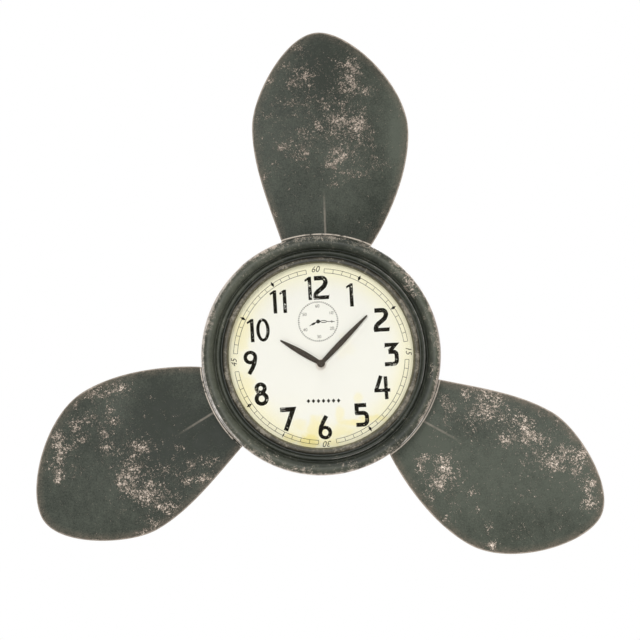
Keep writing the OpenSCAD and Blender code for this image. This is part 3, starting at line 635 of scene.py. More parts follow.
finishes = {
    "blade_paint": bladePaint(),
    "hub_paint": plainHubPaint(),
    "trim_paint": trimPaint(),
    "lens_glass": glass(),
    "dial_paper": paper(),
    "fibreboard": fibreboard(),
    "plain_steel": mottled("zincSteel", (0.36, 0.35, 0.31), (0.58, 0.57, 0.53), 90.0, 0.36, 1.0),
    "black_screw": mottled("blackScrew", (0.02, 0.02, 0.019), (0.06, 0.058, 0.052), 140.0, 0.42, 0.3),
    "hand_paint": mottled("handPaint", (0.031, 0.0240, 0.0165), (0.057, 0.0445, 0.032), 70.0, 0.5, shine=0.12),
    "brass_parts": mottled("satinBrass", (0.46, 0.31, 0.11), (0.70, 0.52, 0.23), 160.0, 0.32, 1.0),
    "rubber_seal": mottled("rubberSeal", (0.012, 0.012, 0.012), (0.032, 0.032, 0.031), 200.0, 0.8),
    "movement_case": mottled("movementCase", (0.016, 0.017, 0.018), (0.034, 0.035, 0.036), 240.0, 0.5),
    "wheel_plastic": mottled("wheelPlastic", (0.66, 0.63, 0.54), (0.80, 0.78, 0.70), 110.0, 0.4),
    "magnet_iron": mottled("magnetIron", (0.20, 0.205, 0.21), (0.38, 0.385, 0.39), 150.0, 0.45, 0.9),
    "copper_wire": mottled("copperWire", (0.36, 0.11, 0.035), (0.66, 0.28, 0.12), 60.0, 0.34, 0.9,
                           0.0004, (1, 1, 22)),
    "circuit_green": mottled("circuitGreen", (0.02, 0.11, 0.045), (0.06, 0.22, 0.09), 180.0, 0.4),
    "cell_jacket": cellJacket(),
}
hubFinish = hubPaint()
rivetFinish = mottled("rivetMetal", (0.60, 0.60, 0.58), (0.80, 0.80, 0.77), 120.0, 0.26, 1.0)
numeralInk = ink("numeralInk", *paperLook["ink"])
fineInk = ink("fineInk", *paperLook["fineInk"])
faintInk = ink("faintInk", *paperLook["faintInk"])
for part in frame["record"]["subparts"]:
    nodes[part["node"]].data.materials.clear()
    nodes[part["node"]].data.materials.append(finishes[part["material_slot"]])
nodes["hanger_rivets"].data.materials[0] = rivetFinish
print("finishes made:", len(bpy.data.materials))


# bezel and trim ring, spun from their profiles

bezelShape = {
    "steps": 192,
    "sheet": 1.0,
    "collar": (142.15, 143.15, 33.8),  # inside, outside, lower end
    "roll": (142.0, 47.3, 8.0),  # centre, height, radius
    "join": (0.35, 0.9),  # how far above the roll's foot the collar meets it, outside and inside
    "grooves": (133.0, 125.0, 44.3, 1.0),  # two centres, height, radius
    "bead": (129.0, 3.0),
    "seat": (118.0, 43.3, 42.3),
    # rubbed places along the roll: px, py, wide, high, strength
    "worn": [(409, 281, 8, 9, 1.0), (414, 293, 6, 8, 0.8), (425, 314, 4, 10, 0.6), (432, 336, 4, 8, 0.5),
             (428, 402, 4, 8, 0.6), (421, 415, 4, 6, 0.6),
             (300, 468, 16, 5, 0.8), (264, 456, 10, 6, 0.85), (248, 440, 4, 4, 0.6), (219, 400, 4, 10, 0.3),
             (207, 320, 4, 14, 0.35), (240, 271, 7, 7, 0.5), (352, 464, 16, 5, 0.65), (432, 372, 5, 14, 0.6),
             (342, 237, 8, 4, 0.5), (300, 239, 10, 3, 0.4), (376, 252, 8, 5, 0.5)],
    # arcs where the outer edge is bare: degrees, half width, strength
    "bare": [(22, 30, 2.2), (150, 42, 2.0), (212, 24, 1.6), (266, 40, 2.0), (345, 22, 2.6)],
    # arcs with a thin bright line at the very edge
    "line": [(203, 14, 1.7), (164, 30, 1.6), (321, 7, 1.6), (342, 14, 0.2), (20, 28, 0.4), (262, 34, 0.6)],
    # arcs with a second pale line just inside the edge
    "secondLine": [(208, 8, 0.64), (197, 8, 0.36), (220, 8, 0.32), (164, 28, 0.23)],
    # arcs with a thin pale line on the bead, rubbed paint and a painted highlight on its crest
    "beadLine": [(25, 42, 0.3), (290, 16, 0.3)],
    # lighter and darker places, painted light and shade with paint tone: px, py, wide, high, amount
    "paintedLightAndTone": [(325, 240, 62, 9, -0.42), (402, 442, 16, 16, -0.4), (405, 274, 14, 16, 0.2),
               (222, 285, 10, 14, 0.08)],
    # painted light and shade in lighter and darker arcs: degrees, half width, radius, reach, amount
    "arcs": [(2, 46, 125.0, 1.6, 0.5), (235, 60, 126.5, 1.5, -0.25), (170, 60, 129.0, 1.8, 0.12),
             (340, 130, 129.0, 1.8, -0.28), (180, 56, 133.0, 3.0, 0.5), (285, 35, 132.2, 1.8, 0.16),
             (180, 56, 137.5, 3.2, 0.45), (265, 35, 136.0, 2.4, -0.22), (40, 40, 136.0, 2.4, -0.16),
             (318, 38, 139.7, 2.8, -0.52), (65, 16, 139.7, 2.6, -0.2), (76, 28, 144.0, 2.8, -0.38),
             (180, 42, 144.4, 2.2, -0.42), (20, 34, 143.8, 2.6, 0.3), (310, 14, 143.8, 2.6, -0.2),
             (82, 36, 147.5, 2.2, -0.35)],
}


def buildBezel():
    shape = bezelShape
    sheet = shape["sheet"]
    rollC, rollZ, rollR = shape["roll"]
    outer, inner, low, grooveR = shape["grooves"]
    beadC, beadR = shape["bead"]
    inside, outside, end = shape["collar"]
    seatIn, seatTop, seatLow = shape["seat"]
    joinOut, joinIn = shape["join"]
    # up the outside, over the front to the seat, and back along the inside
    skin = [(outside, end), (outside, rollZ - rollR + joinOut)]
    skin += arcPoints(rollC, rollZ, rollR, -78, 180, 52)
    skin += arcPoints(outer, low, grooveR, 0, -180, 10)
    skin += arcPoints(beadC, low, beadR, 0, 180, 18)[1:]
    skin += arcPoints(inner, low, grooveR, 0, -90, 6)[1:]
    skin += [(seatIn, seatTop), (seatIn, seatLow)]
    skin += arcPoints(inner, low, grooveR + sheet, -90, 0, 6)
    skin += arcPoints(beadC, low, beadR - sheet, 180, 0, 14)[1:]
    skin += arcPoints(outer, low, grooveR + sheet, -180, 0, 10)[1:]
    skin += arcPoints(rollC, rollZ, rollR - sheet, 180, -80, 40)
    skin += [(inside, rollZ - rollR + joinIn), (inside, end)]
    piece = lathe("bezel", skin, shape["steps"])
    smooth(piece, 40)
    points = meshValues(piece)
    storeValues(piece, "wear", blotches(points, shape["worn"]))
    # the tone holds painted light and shade round the ring
    storeValues(piece, "tone", shading(points, shape["paintedLightAndTone"]) + arcShading(points, shape["arcs"]))
    for name in ("bare", "line", "secondLine", "beadLine"):
        values = np.zeros(len(points))
        for middle, half, strength in shape[name]:
            values = np.maximum(values, strength * arcFade(points, middle, half, lineEnd))
        storeValues(piece, name, values)
    return finishPiece(piece, hubFinish, "case", ["bezel_ring"])


trimShape = {
    "inside": 115.5, "outside": 124.0, "seat": 43.3, "height": 4.5, "steps": 192,
    # arcs of painted light and shade: degrees, half width, radius, reach, amount
    "arcs": [(78, 30, 119.0, 4.0, -0.6), (2, 46, 123.2, 2.0, 0.75), (305, 36, 123.4, 1.6, 0.5),
             (352, 22, 120.5, 2.5, 0.2), (172, 24, 117.5, 2.5, 0.3)],
}


def buildTrim():
    shape = trimShape
    middle = (shape["inside"] + shape["outside"]) / 2
    half = (shape["outside"] - shape["inside"]) / 2
    profile = bendPoints(middle, shape["seat"], half, shape["height"], 0, 180, 30)
    piece = lathe("trimRing", profile, shape["steps"])
    smooth(piece, 50)
    # painted light and shade round the ring
    storeValues(piece, "tone", arcShading(meshValues(piece), shape["arcs"]))
    return finishPiece(piece, finishes["trim_paint"], "case", ["trim_ring"])


buildBezel()
buildTrim()
print("bezel and trim ring spun")


# blades: the CAD sheets with a rounded edge, finely divided, and their wear

bladeShape = {
    "edgeRound": (0.00045, 2, 55),  # metres, segments, and the angle that counts as sharp
    "divide": 2,
    "turn": {"top": 0, "left": 120, "right": 239.4},
    "gleam": {"top": 0.45, "left": 0.7, "right": 1.0},  # how bright the bared places are
    # the stronger rub on the right blade is partly painted light on the lit side
    "rub": {"top": 0.2, "left": 0.25, "right": 0.28},  # paint rubbed thin along the edges
}
# worn places: px, py, wide, high, strength
flakes = {
    "top": [(299, 48, 6, 5, 0.75), (284, 66, 5, 4, 0.7), (306, 74, 10, 9, 0.66), (291, 83, 10, 4, 0.65),
            (350, 72, 8, 12, 0.9), (366, 89, 9, 4, 0.95), (347, 60, 10, 4, 0.6), (346, 86, 8, 5, 0.75),
            (338, 120, 8, 10, 0.95), (358, 124, 9, 10, 1.0), (318, 125, 5, 6, 0.85), (303, 131, 4, 4, 0.7),
            (338, 157, 7, 7, 0.95), (328, 164, 6, 3, 0.8), (301, 155, 7, 6, 0.75), (350, 174, 14, 4, 0.7),
            (266, 117, 9, 4, 0.55), (284, 101, 10, 4, 0.5), (271, 163, 6, 4, 0.55), (264, 178, 4, 5, 0.7),
            (275, 214, 3, 7, 0.6), (367, 226, 5, 4, 0.6), (348, 220, 4, 3, 0.5), (332, 184, 5, 2, 0.85),
            (375, 163, 16, 7, 0.5), (350, 145, 22, 14, 0.5), (320, 100, 28, 8, 0.28), (290, 145, 14, 8, 0.5),
            (268, 80, 6, 5, 0.6), (336, 42, 5, 3, 0.5), (306, 168, 3, 4, 0.6), (282, 146, 5, 4, 0.5),
            (318, 112, 56, 50, 0.34)],
    "left": [(119, 386, 9, 5, 0.75), (93, 391, 8, 5, 0.8), (109, 411, 5, 8, 0.6), (74, 405, 3, 5, 0.6),
             (87, 417, 7, 6, 0.65), (74, 427, 5, 8, 0.85), (80, 440, 5, 4, 1.0), (56, 441, 6, 12, 1.0),
             (60, 458, 4, 10, 0.85), (57, 477, 6, 7, 1.0), (48, 467, 4, 6, 0.6), (70, 449, 4, 5, 0.8),
             (106, 449, 5, 6, 0.9), (103, 436, 4, 6, 0.7), (138, 446, 12, 6, 0.68), (131, 463, 10, 8, 0.65),
             (124, 478, 8, 8, 0.95), (138, 493, 11, 6, 1.0), (146, 498, 6, 6, 0.9), (152, 484, 7, 4, 0.85),
             (163, 505, 13, 5, 1.0), (170, 512, 5, 5, 0.7), (152, 524, 8, 7, 0.85), (141, 533, 5, 4, 0.75),
             (206, 478, 8, 5, 0.9), (191, 465, 4, 4, 0.8), (210, 459, 10, 5, 0.5), (187, 482, 5, 4, 0.95),
             (178, 447, 5, 3, 0.6), (164, 470, 10, 5, 0.5), (112, 424, 4, 5, 0.55), (76, 470, 4, 6, 0.5),
             (120, 511, 4, 4, 0.5), (118, 522, 3, 3, 0.55), (174, 415, 3, 2, 0.5), (108, 393, 16, 6, 0.5),
             (160, 494, 9, 5, 0.7), (178, 496, 5, 5, 0.6), (122, 488, 6, 5, 0.6),
             (105, 425, 46, 36, 0.25), (140, 475, 30, 26, 0.28), (196, 472, 24, 18, 0.3)],
    "right": [(466, 391, 6, 6, 0.7), (484, 393, 12, 7, 0.85), (477, 412, 9, 6, 1.0), (488, 412, 5, 5, 0.85),
              (497, 402, 5, 5, 0.8), (450, 408, 5, 5, 0.65), (443, 396, 6, 8, 0.5), (444, 420, 3, 3, 0.6),
              (521, 424, 8, 8, 0.9), (526, 434, 6, 7, 0.95), (504, 438, 6, 6, 0.95), (538, 437, 8, 5, 0.75),
              (552, 461, 10, 6, 1.0), (558, 467, 5, 4, 0.9), (575, 458, 6, 5, 1.0), (583, 452, 5, 5, 0.9),
              (566, 452, 7, 5, 0.75), (580, 469, 5, 7, 0.6), (574, 474, 4, 6, 0.75), (591, 482, 6, 8, 0.7),
              (591, 503, 7, 7, 0.95), (586, 490, 5, 8, 0.6),
              (445, 468, 9, 9, 1.1), (437, 483, 8, 5, 0.85), (420, 468, 4, 9, 0.8), (427, 458, 7, 4, 0.7),
              (442, 486, 6, 4, 0.75), (429, 497, 4, 7, 0.55), (470, 491, 5, 4, 0.75), (445, 518, 4, 4, 0.75),
              (492, 546, 6, 6, 0.9), (477, 509, 3, 3, 0.6), (453, 504, 3, 4, 0.6), (462, 485, 4, 3, 0.5),
              (530, 490, 4, 4, 0.4), (558, 511, 6, 4, 0.45), (520, 532, 8, 5, 0.4), (490, 420, 30, 16, 0.2),
              (545, 450, 24, 12, 0.3), (506, 415, 10, 6, 0.25), (568, 420, 14, 8, 0.4), (489, 526, 4, 5, 0.5),
              (500, 415, 56, 24, 0.28), (560, 455, 44, 28, 0.28), (440, 480, 34, 34, 0.25), (525, 515, 60, 26, 0.18)],
}
# broad lighter or darker places, painted light and shade with paint tone, the right blade painted lighter as the lit
# side: px, py, wide, high, amount
paintedLightAndTone = {
    "top": [(322, 66, 30, 46, -0.42), (398, 142, 12, 46, 0.75), (374, 205, 26, 30, -0.2), (336, 155, 20, 16, 0.25),
            (348, 176, 26, 18, 0.28), (325, 200, 22, 18, 0.2), (262, 110, 18, 30, 0.1), (342, 200, 16, 10, 0.1)],
    "left": [(118, 405, 16, 26, 0.32), (205, 395, 12, 14, 0.2), (172, 415, 50, 44, -0.5), (85, 470, 40, 30, -0.06),
             (204, 440, 18, 20, -0.1)],
    "right": [(500, 465, 160, 100, 0.56), (472, 430, 32, 14, -0.4), (424, 430, 10, 12, 0.3),
              (535, 525, 44, 16, -0.28), (594, 480, 14, 40, 0.25), (436, 455, 22, 26, 0.35)],
}


def edgeDistance(points, ends):  # millimetres from each point to the nearest outline, seen from the front
    best = np.full(len(points), 1e9)
    flat = points[:, [0, 2]]
    for a, b in ends:
        run = b - a
        t = np.clip(((flat - a) @ run) / max(run @ run, 1e-12), 0, 1)
        best = np.minimum(best, np.linalg.norm(flat - a - t[:, None] * run, axis=1))
    return best * perMetre


def outlineEnds(mesh):  # the two ends, seen from the front, of every face along the edge of a sheet
    ends = []
    for face in mesh.polygons:
        if abs(face.normal.y) < 0.5:
            flat = [np.array([mesh.vertices[i].co.x, mesh.vertices[i].co.z]) for i in face.vertices]
            ends.append(max(((a, b) for a in flat for b in flat), key=lambda p: np.linalg.norm(p[1] - p[0])))
    return ends


def buildBlade(side):
    shape = bladeShape
    piece = cadCopy("blade_" + side, side + "Blade")
    ends = outlineEnds(piece.data)
    roundEdges(piece, *shape["edgeRound"])
    applyModifier(piece, "SUBSURF", levels=shape["divide"], render_levels=shape["divide"])
    smooth(piece, 40)
    points, normals = meshValues(piece), meshValues(piece, "normal")
    turn = math.radians(shape["turn"][side])
    dx, dz = (points[:, 0] - hub.x) * perMetre, (points[:, 2] - hub.z) * perMetre
    front = np.where(normals[:, 1] < 0.3, 1.0, 0.0)
    values = {
        "wear": blotches(points, flakes[side]) * (0.45 + front * 0.5),
        "front": front,
        "gleam": np.full(len(points), shape["gleam"][side]),
        "rub": np.full(len(points), shape["rub"][side]),
        # painted light and shade with paint tone
        "tone": shading(points, paintedLightAndTone[side]),
        "edge": edgeDistance(points, ends),
        "across": dx * math.cos(turn) + dz * math.sin(turn),
        "along": dz * math.cos(turn) - dx * math.sin(turn),
    }
    for name, numbers in values.items():
        storeValues(piece, name, numbers)
    return finishPiece(piece, finishes["blade_paint"], "case", ["blade_" + side])


for side in bladeShape["turn"]:
    buildBlade(side)
print("blades dressed")


# dial print

dialShape = {
    "centre": (320.8, 356.1),  # picture pixels
    "turn": 3.3,  # degrees anticlockwise
    "height": 29.1,
    # in mm: the ink, how far it stands off the paper, and how much more where it crosses other ink
    "inkThickness": 0.02,
    "lift": 0.03,
    "layer": 0.01,
}


def pathLoop(points, width):  # a line of points becomes a closed outline of this width
    half = width / 2
    left, right = [], []
    for i, point in enumerate(points):
        before = Vector(point) - Vector(points[i - 1]) if i else None
        after = Vector(points[i + 1]) - Vector(point) if i < len(points) - 1 else None
        sides = [Vector((-d.y, d.x)).normalized() for d in (before, after) if d is not None]
        side = sum(sides, Vector((0, 0))).normalized()
        reach = min(half / max(side.dot(sides[0]), 0.3), half * 2.2)
        left.append(Vector(point) + side * reach)
        right.append(Vector(point) - side * reach)
    return left + right[::-1]


numeralShape = {
    "pen": 33,
    "grid": 186,  # units to a figure's height
    "layer": 0.012,
    # each hour: px, py, and its figures with their shift on the grid
    "hours": [(316.3, 287.5, [(1, -66), (2, 31)]), (349.7, 294.5, [(1, 0)]), (380.6, 319.5, [(2, 0)]),
              (390.8, 353.6, [(3, 0)]), (381.9, 387.0, [(4, 0)]), (361.2, 414.3, [(5, 0)]), (324.5, 427.2, [(6, 0)]),
              (287.5, 418.5, [(7, 0)]), (260.8, 393.6, [(8, 0)]), (250.1, 361.9, [(9, 0)]),
              (259.2, 329.7, [(1, -70), (0, 26)]), (278.8, 301.2, [(1, -45), (1, 34)])],
}


def numeralLoops():  # the figures from nought to nine, each about its middle
    pen = numeralShape["pen"]
    one = [[[(24, 93), (4, 93), (-30, 70), (-27, 54), (-5, 66), (-5, -93), (24, -93)]]]
    two = [[pathLoop([(-50, 78), (12, 78)] + bendPoints(12, 46, 29, 32, 90, -22)[1:] + [(28, 12), (4, -8), (-24, -28),
                     (-40, -46), (-46, -64), (-46, -80)], pen + 3)],
           [pathLoop([(-61, -78), (61, -78)], 31)], [[(46, -66), (61, -66), (68, -50), (61, -93), (46, -93)]]]
    three = [[pathLoop([(-50, 75), (36, 75), (-14, 24)], pen)], [[(-50, 62), (-38, 62), (-56, 50)]],
             [pathLoop([(-22, 18), (14, 18)] + bendPoints(14, -8, 28, 26, 90, 0)[1:] + [(42, -50)]
                       + bendPoints(14, -50, 28, 29, 0, -90)[1:] + [(-56, -79)], pen)]]
    four = [[pathLoop([(-8, 95), (-50, -20)], 30)], [pathLoop([(-66, -23), (62, -23)], 27)],
            [pathLoop([(28, 88), (30, -95)], 29)]]
    five = [[pathLoop([(40, 77), (-38, 77), (-38, 8)], pen)],
            [pathLoop([(-52, 15), (8, 15)] + bendPoints(8, -15, 33, 30, 90, 0)[1:] + [(41, -46)]
                      + bendPoints(8, -46, 33, 33, 0, -90)[1:] + [(-48, -79)], pen)]]
    six = [[ovalLoop(0, -39, 55, 55), ovalLoop(0, -39, 25, 27)],
           [pathLoop([(16, 94), (-12, 48), (-31, 8), (-39, -32)], 33)]]
    seven = [[pathLoop([(-60, 76), (45, 76), (-22, -93)], 37)]]
    eight = [[ovalLoop(-3, 46, 49, 48), ovalLoop(-3, 46, 17, 18)],
             [ovalLoop(1, -38, 57, 56), ovalLoop(1, -38, 24, 25)]]
    nought = [[ovalLoop(0, 0, 54, 93), ovalLoop(0, 0, 27, 69)]]
    nine = [[[(-p[0], -p[1]) for p in loop] for loop in part] for part in six]
    return [nought, one, two, three, four, five, six, seven, eight, nine]


def layInk(piece, place, turn, extra=0.0):  # a flat shape becomes print on the dial
    pick(piece)
    piece.data.extrude = dialShape["inkThickness"] * mm / 2
    bpy.ops.object.convert(target="MESH")
    piece = bpy.context.object
    piece.location = (place.x, dialFront - (dialShape["lift"] + extra) * mm, place.y)
    piece.rotation_euler = (math.pi / 2, turn, 0)
    return settle(piece)


def inkPiece(loops, place, turn, extra=0.0):  # outlines in mm, turned anticlockwise, and lifted so much more
    clearSelection()
    bpy.ops.curve.primitive_bezier_circle_add(location=(0, 0, 0))
    piece = bpy.context.object
    data = piece.data
    data.splines.clear()
    data.dimensions = "2D"
    data.fill_mode = "BOTH"
    for loop in loops:
        line = data.splines.new("POLY")
        line.points.add(len(loop) - 1)
        for point, (u, v) in zip(line.points, loop):
            point.co = (u * mm, v * mm, 0, 1)
        line.use_cyclic_u = True
    return layInk(piece, place, -turn, extra)


def numberPiece(text, place, turn, size, shear):  # small figures in the plain built-in type
    clearSelection()
    bpy.ops.object.text_add(location=(0, 0, 0))
    piece = bpy.context.object
    piece.data.body = text
    piece.data.align_x = "CENTER"
    piece.data.align_y = "CENTER"
    piece.data.size = size * mm
    piece.data.shear = shear
    return layInk(piece, place, turn)


def numberRing(texts, centre, radius, lean, upright, size, shear):  # numbers round a circle, clockwise from the top
    parts = []
    for i, text in enumerate(texts):
        angle = math.radians(i * 360 / len(texts)) - lean
        place = centre + Vector((math.sin(angle), math.cos(angle))) * radius * mm
        parts.append(numberPiece(text, place, -lean if upright else angle, size, shear))
    return parts


def buildNumerals():
    figures = numeralLoops()
    unit = dialShape["height"] / numeralShape["grid"]
    turn = math.radians(dialShape["turn"])
    parts = []
    for px, py, row in numeralShape["hours"]:
        for figure, shift in row:
            for j, loops in enumerate(figures[figure]):
                sized = [[((p[0] + shift) * unit, p[1] * unit) for p in loop] for loop in loops]
                parts.append(inkPiece(sized, facePoint(px, py), turn, numeralShape["layer"] * j))
    return finishPiece(joinAll("hourNumerals", parts), numeralInk, "case")


trackShape = {
    "inner": 105.0, "outer": 110.0, "line": 0.55, "turn": 4.15,
    "ends": (6, 84), "steps": 60,  # degrees of each quarter that the ladder fills
    "lozenge": (109.0, 4.0, 1.9), "lozengeHours": {1: 1.0, 2: 1.0, 5: 1.0, 7: 0.4, 8: 1.0, 10: 1.0, 11: 1.0},
    "numbers": ("60", "15", "30", "45"), "numberSize": 10.36, "numberShear": 0.3, "numberRadius": 109.3,
}


def ringBand(radius, width, start, end, count):  # a thin bent strip, clockwise degrees from the top
    outer = arcPoints(0, 0, radius + width / 2, 90 - start, 90 - end, count)
    inner = arcPoints(0, 0, radius - width / 2, 90 - start, 90 - end, count)
    return outer + inner[::-1]


def turned(points, degrees):  # clockwise from the top
    c, s = math.cos(math.radians(degrees)), math.sin(math.radians(degrees))
    return [(p[0] * c + p[1] * s, p[1] * c - p[0] * s) for p in points]


def tickLoop(width, low, high, degrees):
    half = width / 2
    return turned([(-half, low), (half, low), (half, high), (-half, high)], degrees)


def buildTrack():  # four closed ladders of minutes, open at the quarter numbers
    shape = trackShape
    centre = facePoint(*dialShape["centre"])
    turn = math.radians(shape["turn"])
    layer = dialShape["layer"]
    line, inner, outer = shape["line"], shape["inner"], shape["outer"]
    start, end = shape["ends"]
    parts, marks = [], []
    for quarter in range(0, 360, 90):
        for radius in (inner, outer):
            band = ringBand(radius, line, quarter + start, quarter + end, shape["steps"])
            parts.append(inkPiece([band], centre, turn))
        for minute in range(1, 15):
            parts.append(inkPiece([tickLoop(line, inner, outer, quarter + minute * 6)], centre, turn, layer))
    finishPiece(joinAll("minuteTrack", parts), fineInk, "case")
    middle, long, wide = shape["lozenge"]
    for hour, slim in shape["lozengeHours"].items():
        mark = [(0, middle + long), (wide * slim, middle), (0, middle - long), (-wide * slim, middle)]
        marks.append(inkPiece([turned(mark, hour * 30)], centre, turn, layer * 2))
    finishPiece(joinAll("fiveMinuteMarks", marks), numeralInk, "case")


def buildQuarterNumbers():
    shape = trackShape
    parts = numberRing(shape["numbers"], facePoint(*dialShape["centre"]), shape["numberRadius"],
                       math.radians(shape["turn"]), False, shape["numberSize"], shape["numberShear"])
    finishPiece(joinAll("quarterNumbers", parts), fineInk, "case")


subDial = {
    "centre": (317.65, 321.0), "radius": 25.5, "tickWide": 1.05, "tick": 1.9, "longTick": 1.3, "hand": 20.5,
    "numbers": ("60", "10", "20", "30", "40", "50"), "numberSize": 5.6, "numberRadius": 19.3,
}


def buildSubDial():
    shape = subDial
    centre = facePoint(*shape["centre"])
    turn = math.radians(dialShape["turn"])
    layer = dialShape["layer"]
    radius = shape["radius"]
    faint = []
    for second in range(60):
        long = shape["tick"] * (shape["longTick"] if second % 5 == 0 else 1.0)
        tick = tickLoop(shape["tickWide"], radius - long, radius, second * 6)
        faint.append(inkPiece([tick], centre, turn, layer))
    faint += numberRing(shape["numbers"], centre, shape["numberRadius"], turn, True, shape["numberSize"], 0.0)
    finishPiece(joinAll("secondsTrack", faint), faintInk, "case")
    # printed hand: dot, loop, thin point and a short tail
    long = shape["hand"]
    parts = [[ovalLoop(0, 0, 2.5, 2.5)], [ovalLoop(6.8, 0, 4.4, 1.7), ovalLoop(6.8, 0, 3.5, 0.75)],
             [pathLoop([(10.8, 0), (long, 0)], 0.8)], [pathLoop([(long - 3.4, 1.5), (long - 3.4, -1.5)], 0.9)],
             [pathLoop([(-2.0, -0.9), (-5.2, -2.4)], 1.2)], [turned(ovalLoop(-6.6, 0, 3.0, 1.3), -27)],
             [pathLoop([(-8.2, -4.2), (-10.8, -5.5)], 0.9)]]
    hand = [inkPiece(loops, centre, 0.0, layer * (2 + j)) for j, loops in enumerate(parts)]
    finishPiece(joinAll("secondsPrint", hand), fineInk, "case")


ornament = {"centre": (323.0, 400.4), "count": 7, "apart": 6.3, "half": (2.3, 2.7), "turn": 1.0}


def buildOrnament():  # a plain row of lozenges under the hands
    shape = ornament
    wide, high = shape["half"]
    parts = []
    for i in range(shape["count"]):
        x = (i - (shape["count"] - 1) / 2) * shape["apart"]
        loop = [(x, high), (x + wide, 0), (x, -high), (x - wide, 0)]
        parts.append(inkPiece([loop], facePoint(*shape["centre"]), math.radians(shape["turn"])))
    finishPiece(joinAll("dialOrnament", parts), fineInk, "case")


buildNumerals()
buildTrack()
buildQuarterNumbers()
buildSubDial()
buildOrnament()
print("dial printed")


# hands: name, body, edge rounding in metres, its segments, and the angle that counts as sharp
handShape = {
    "hour_hand": ("hourHand", "hour_set", 0.00022, 2, 40),
    "minute_hand": ("minuteHand", "minute_set", 0.00022, 2, 40),
    "minute_cap": ("handCap", "minute_set", 0.0011, 4, 60),
}


def buildHands():
    for node, (name, body, width, segments, sharpness) in handShape.items():
        piece = cadCopy(node, name)
        roundEdges(piece, width, segments, sharpness)
        smooth(piece, 35)
        finishPiece(piece, finishes["hand_paint"], body, [node])


buildHands()
print("hands rounded")


# screws: head rounding, length, width and depth of the cross recess in mm, and whether the heads face outwards
screwShape = {
    "back_screws": ("backScrews", 0.7, 3.4, 0.8, 1.1, False),
    "movement_screws": ("movementScrews", 0.4, 2.2, 0.5, 0.7, False),
    "bezel_screws": ("bezelScrews", 0.7, 3.4, 0.8, 1.1, True),
    "blade_bolts": ("bladeBolts", 0.9, 4.8, 1.1, 1.6, True),
}
headRound = (4, 60)  # segments, and the angle that counts as sharp
softEdges = {"hanger_rivets": 0.7, "battery_cell": 0.5, "movement_back": 0.4}
softRound = (2, 50)


def headPlaces(piece, outward):  # where each screw head ends, and the way it faces
    pick(piece)
    bpy.ops.object.duplicate()
    bpy.ops.object.mode_set(mode="EDIT")
    bpy.ops.mesh.select_all(action="SELECT")
    bpy.ops.mesh.separate(type="LOOSE")
    bpy.ops.object.mode_set(mode="OBJECT")
    places = []
    for part in sorted(bpy.context.selected_objects, key=lambda obj: obj.name):
        points = meshValues(part)
        middle = Vector((points.min(axis=0) + points.max(axis=0)) / 2)
        if outward:
            way = Vector((middle.x - hub.x, 0, middle.z - hub.z)).normalized()
            reach = max((Vector(point) - hub).dot(way) for point in points)
            places.append((Vector((hub.x, middle.y, hub.z)) + way * reach, way))
        else:
            places.append((Vector((middle.x, points[:, 1].max(), middle.z)), Vector((0, 1, 0))))
    bpy.ops.object.delete()
    return places


def buildScrews(node):
    name, rounding, long, wide, deep, outward = screwShape[node]
    piece = cadCopy(node, name)
    places = headPlaces(piece, outward)
    roundEdges(piece, rounding * mm, *headRound)
    for size in ((long, wide), (wide, long)):
        bars = []
        for place, way in places:
            clearSelection()
            bpy.ops.mesh.primitive_cube_add(size=mm, location=place)
            bar = bpy.context.object
            bar.scale = (size[0], size[1], deep * 2)
            bar.rotation_euler = way.to_track_quat("Z", "Y").to_euler()
            bars.append(bar)
        cutter = joinAll("cutter", bars)
        applyModifier(piece, "BOOLEAN", operation="DIFFERENCE", solver="EXACT", object=cutter)
        pick(cutter)
        bpy.ops.object.delete()
    smooth(piece, 30)
    entry = next(part for part in frame["record"]["subparts"] if part["node"] == node)
    slot = entry["material_slot"]
    return finishPiece(piece, finishes[slot], entry.get("body", "case"), [node])


def softenEdges():  # the rear CAD pieces keep their shape and get a small round on their edges
    for node, width in softEdges.items():
        weld = nodes[node].modifiers.new("weld", "WELD")
        weld.merge_threshold = 2e-6
        bevel = nodes[node].modifiers.new("bevel", "BEVEL")
        bevel.width = width * mm
        bevel.segments, sharpness = softRound
        bevel.limit_method = "ANGLE"
        bevel.angle_limit = math.radians(sharpness)
        bevel.harden_normals = True


for node in screwShape:
    buildScrews(node)
softenEdges()
print("fasteners dressed")


# stage, light and camera

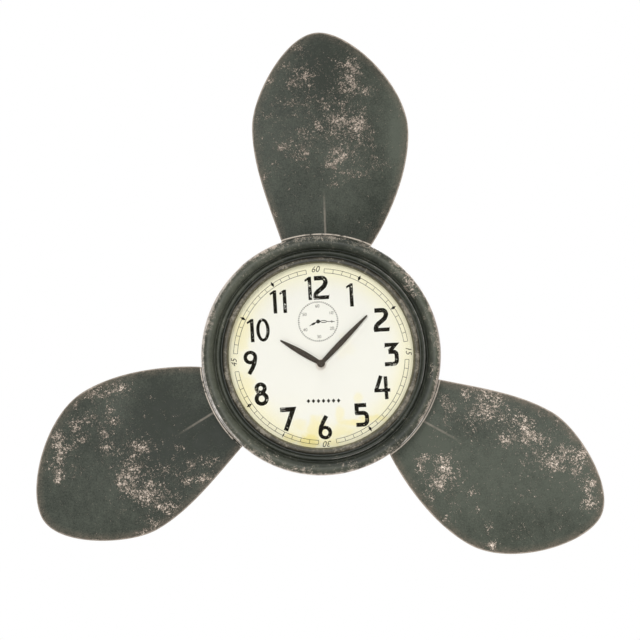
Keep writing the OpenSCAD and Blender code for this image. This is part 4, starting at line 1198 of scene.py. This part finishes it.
stageShape = {
    "floorZ": -0.95, "floorRadius": 3.2, "floorSides": 128,
    "floor": ((0.84, 0.84, 0.83), (0.88, 0.88, 0.87)),
    "worldLevel": 0.29,  # what lights the clock; the background itself shows white
    "aim": (0, 0, -0.06),
    # lamps: place, size, power
    "lamps": {
        "key": ((-0.65, -4.1, 0.8), 1.2, 74.0),
        "fill": ((0.75, -4.0, 0.1), 1.2, 37.0),
        "rear": ((1.2, 3.2, 1.6), 2.4, 80.0),
        "above": ((-0.5, -0.4, 3.2), 2.6, 70.0),
    },
}


def buildStage():
    shape = stageShape
    clearSelection()
    bpy.ops.mesh.primitive_circle_add(vertices=shape["floorSides"], radius=shape["floorRadius"], fill_type="NGON",
                                      location=(0, 0, shape["floorZ"]))
    floor = bpy.context.object
    floor.name = "floor"
    made, place = newFinish("paleFloor", 0.1)
    cloud = place.noise(3.0, 3.0, 0.5)
    floor.data.materials.append(feed(made, cloud.colour(*shape["floor"]), 0.8 + cloud * 0.1))
    settle(floor)
    world = bpy.data.worlds.new("studio")
    scene.world = world
    world.use_nodes = True
    tree = world.node_tree
    path = tree.nodes.new("ShaderNodeLightPath")
    rays = ("Is Camera Ray", "Is Glossy Ray", "Is Transmission Ray")
    seen = mostOf([Wire(tree, path.outputs[ray]) for ray in rays])
    level = shape["worldLevel"]
    shown = tree.nodes["Background"]
    shown.inputs["Color"].default_value = (1, 1, 1, 1)
    tree.links.new((level + seen * (1 - level)).socket, shown.inputs["Strength"])
    for name, (place, size, power) in shape["lamps"].items():
        bpy.ops.object.light_add(type="AREA", location=place)
        lamp = bpy.context.object
        lamp.name = name
        lamp.data.size = size
        lamp.data.energy = power
        lamp.rotation_euler = (Vector(shape["aim"]) - Vector(place)).to_track_quat("-Z", "Y").to_euler()


cameraShape = {"sensor": 36.0, "distance": 8.0, "facePlane": -0.030, "width": 0.802, "aim": (-0.00124, -0.0455)}


def buildCamera():
    shape = cameraShape
    x, z = shape["aim"]
    bpy.ops.object.camera_add(location=(x, shape["facePlane"] - shape["distance"], z), rotation=(math.pi / 2, 0, 0))
    camera = bpy.context.object
    camera.data.sensor_width = shape["sensor"]
    camera.data.lens = shape["sensor"] * shape["distance"] / shape["width"]
    scene.camera = camera


buildStage()
buildCamera()
print("stage ready")
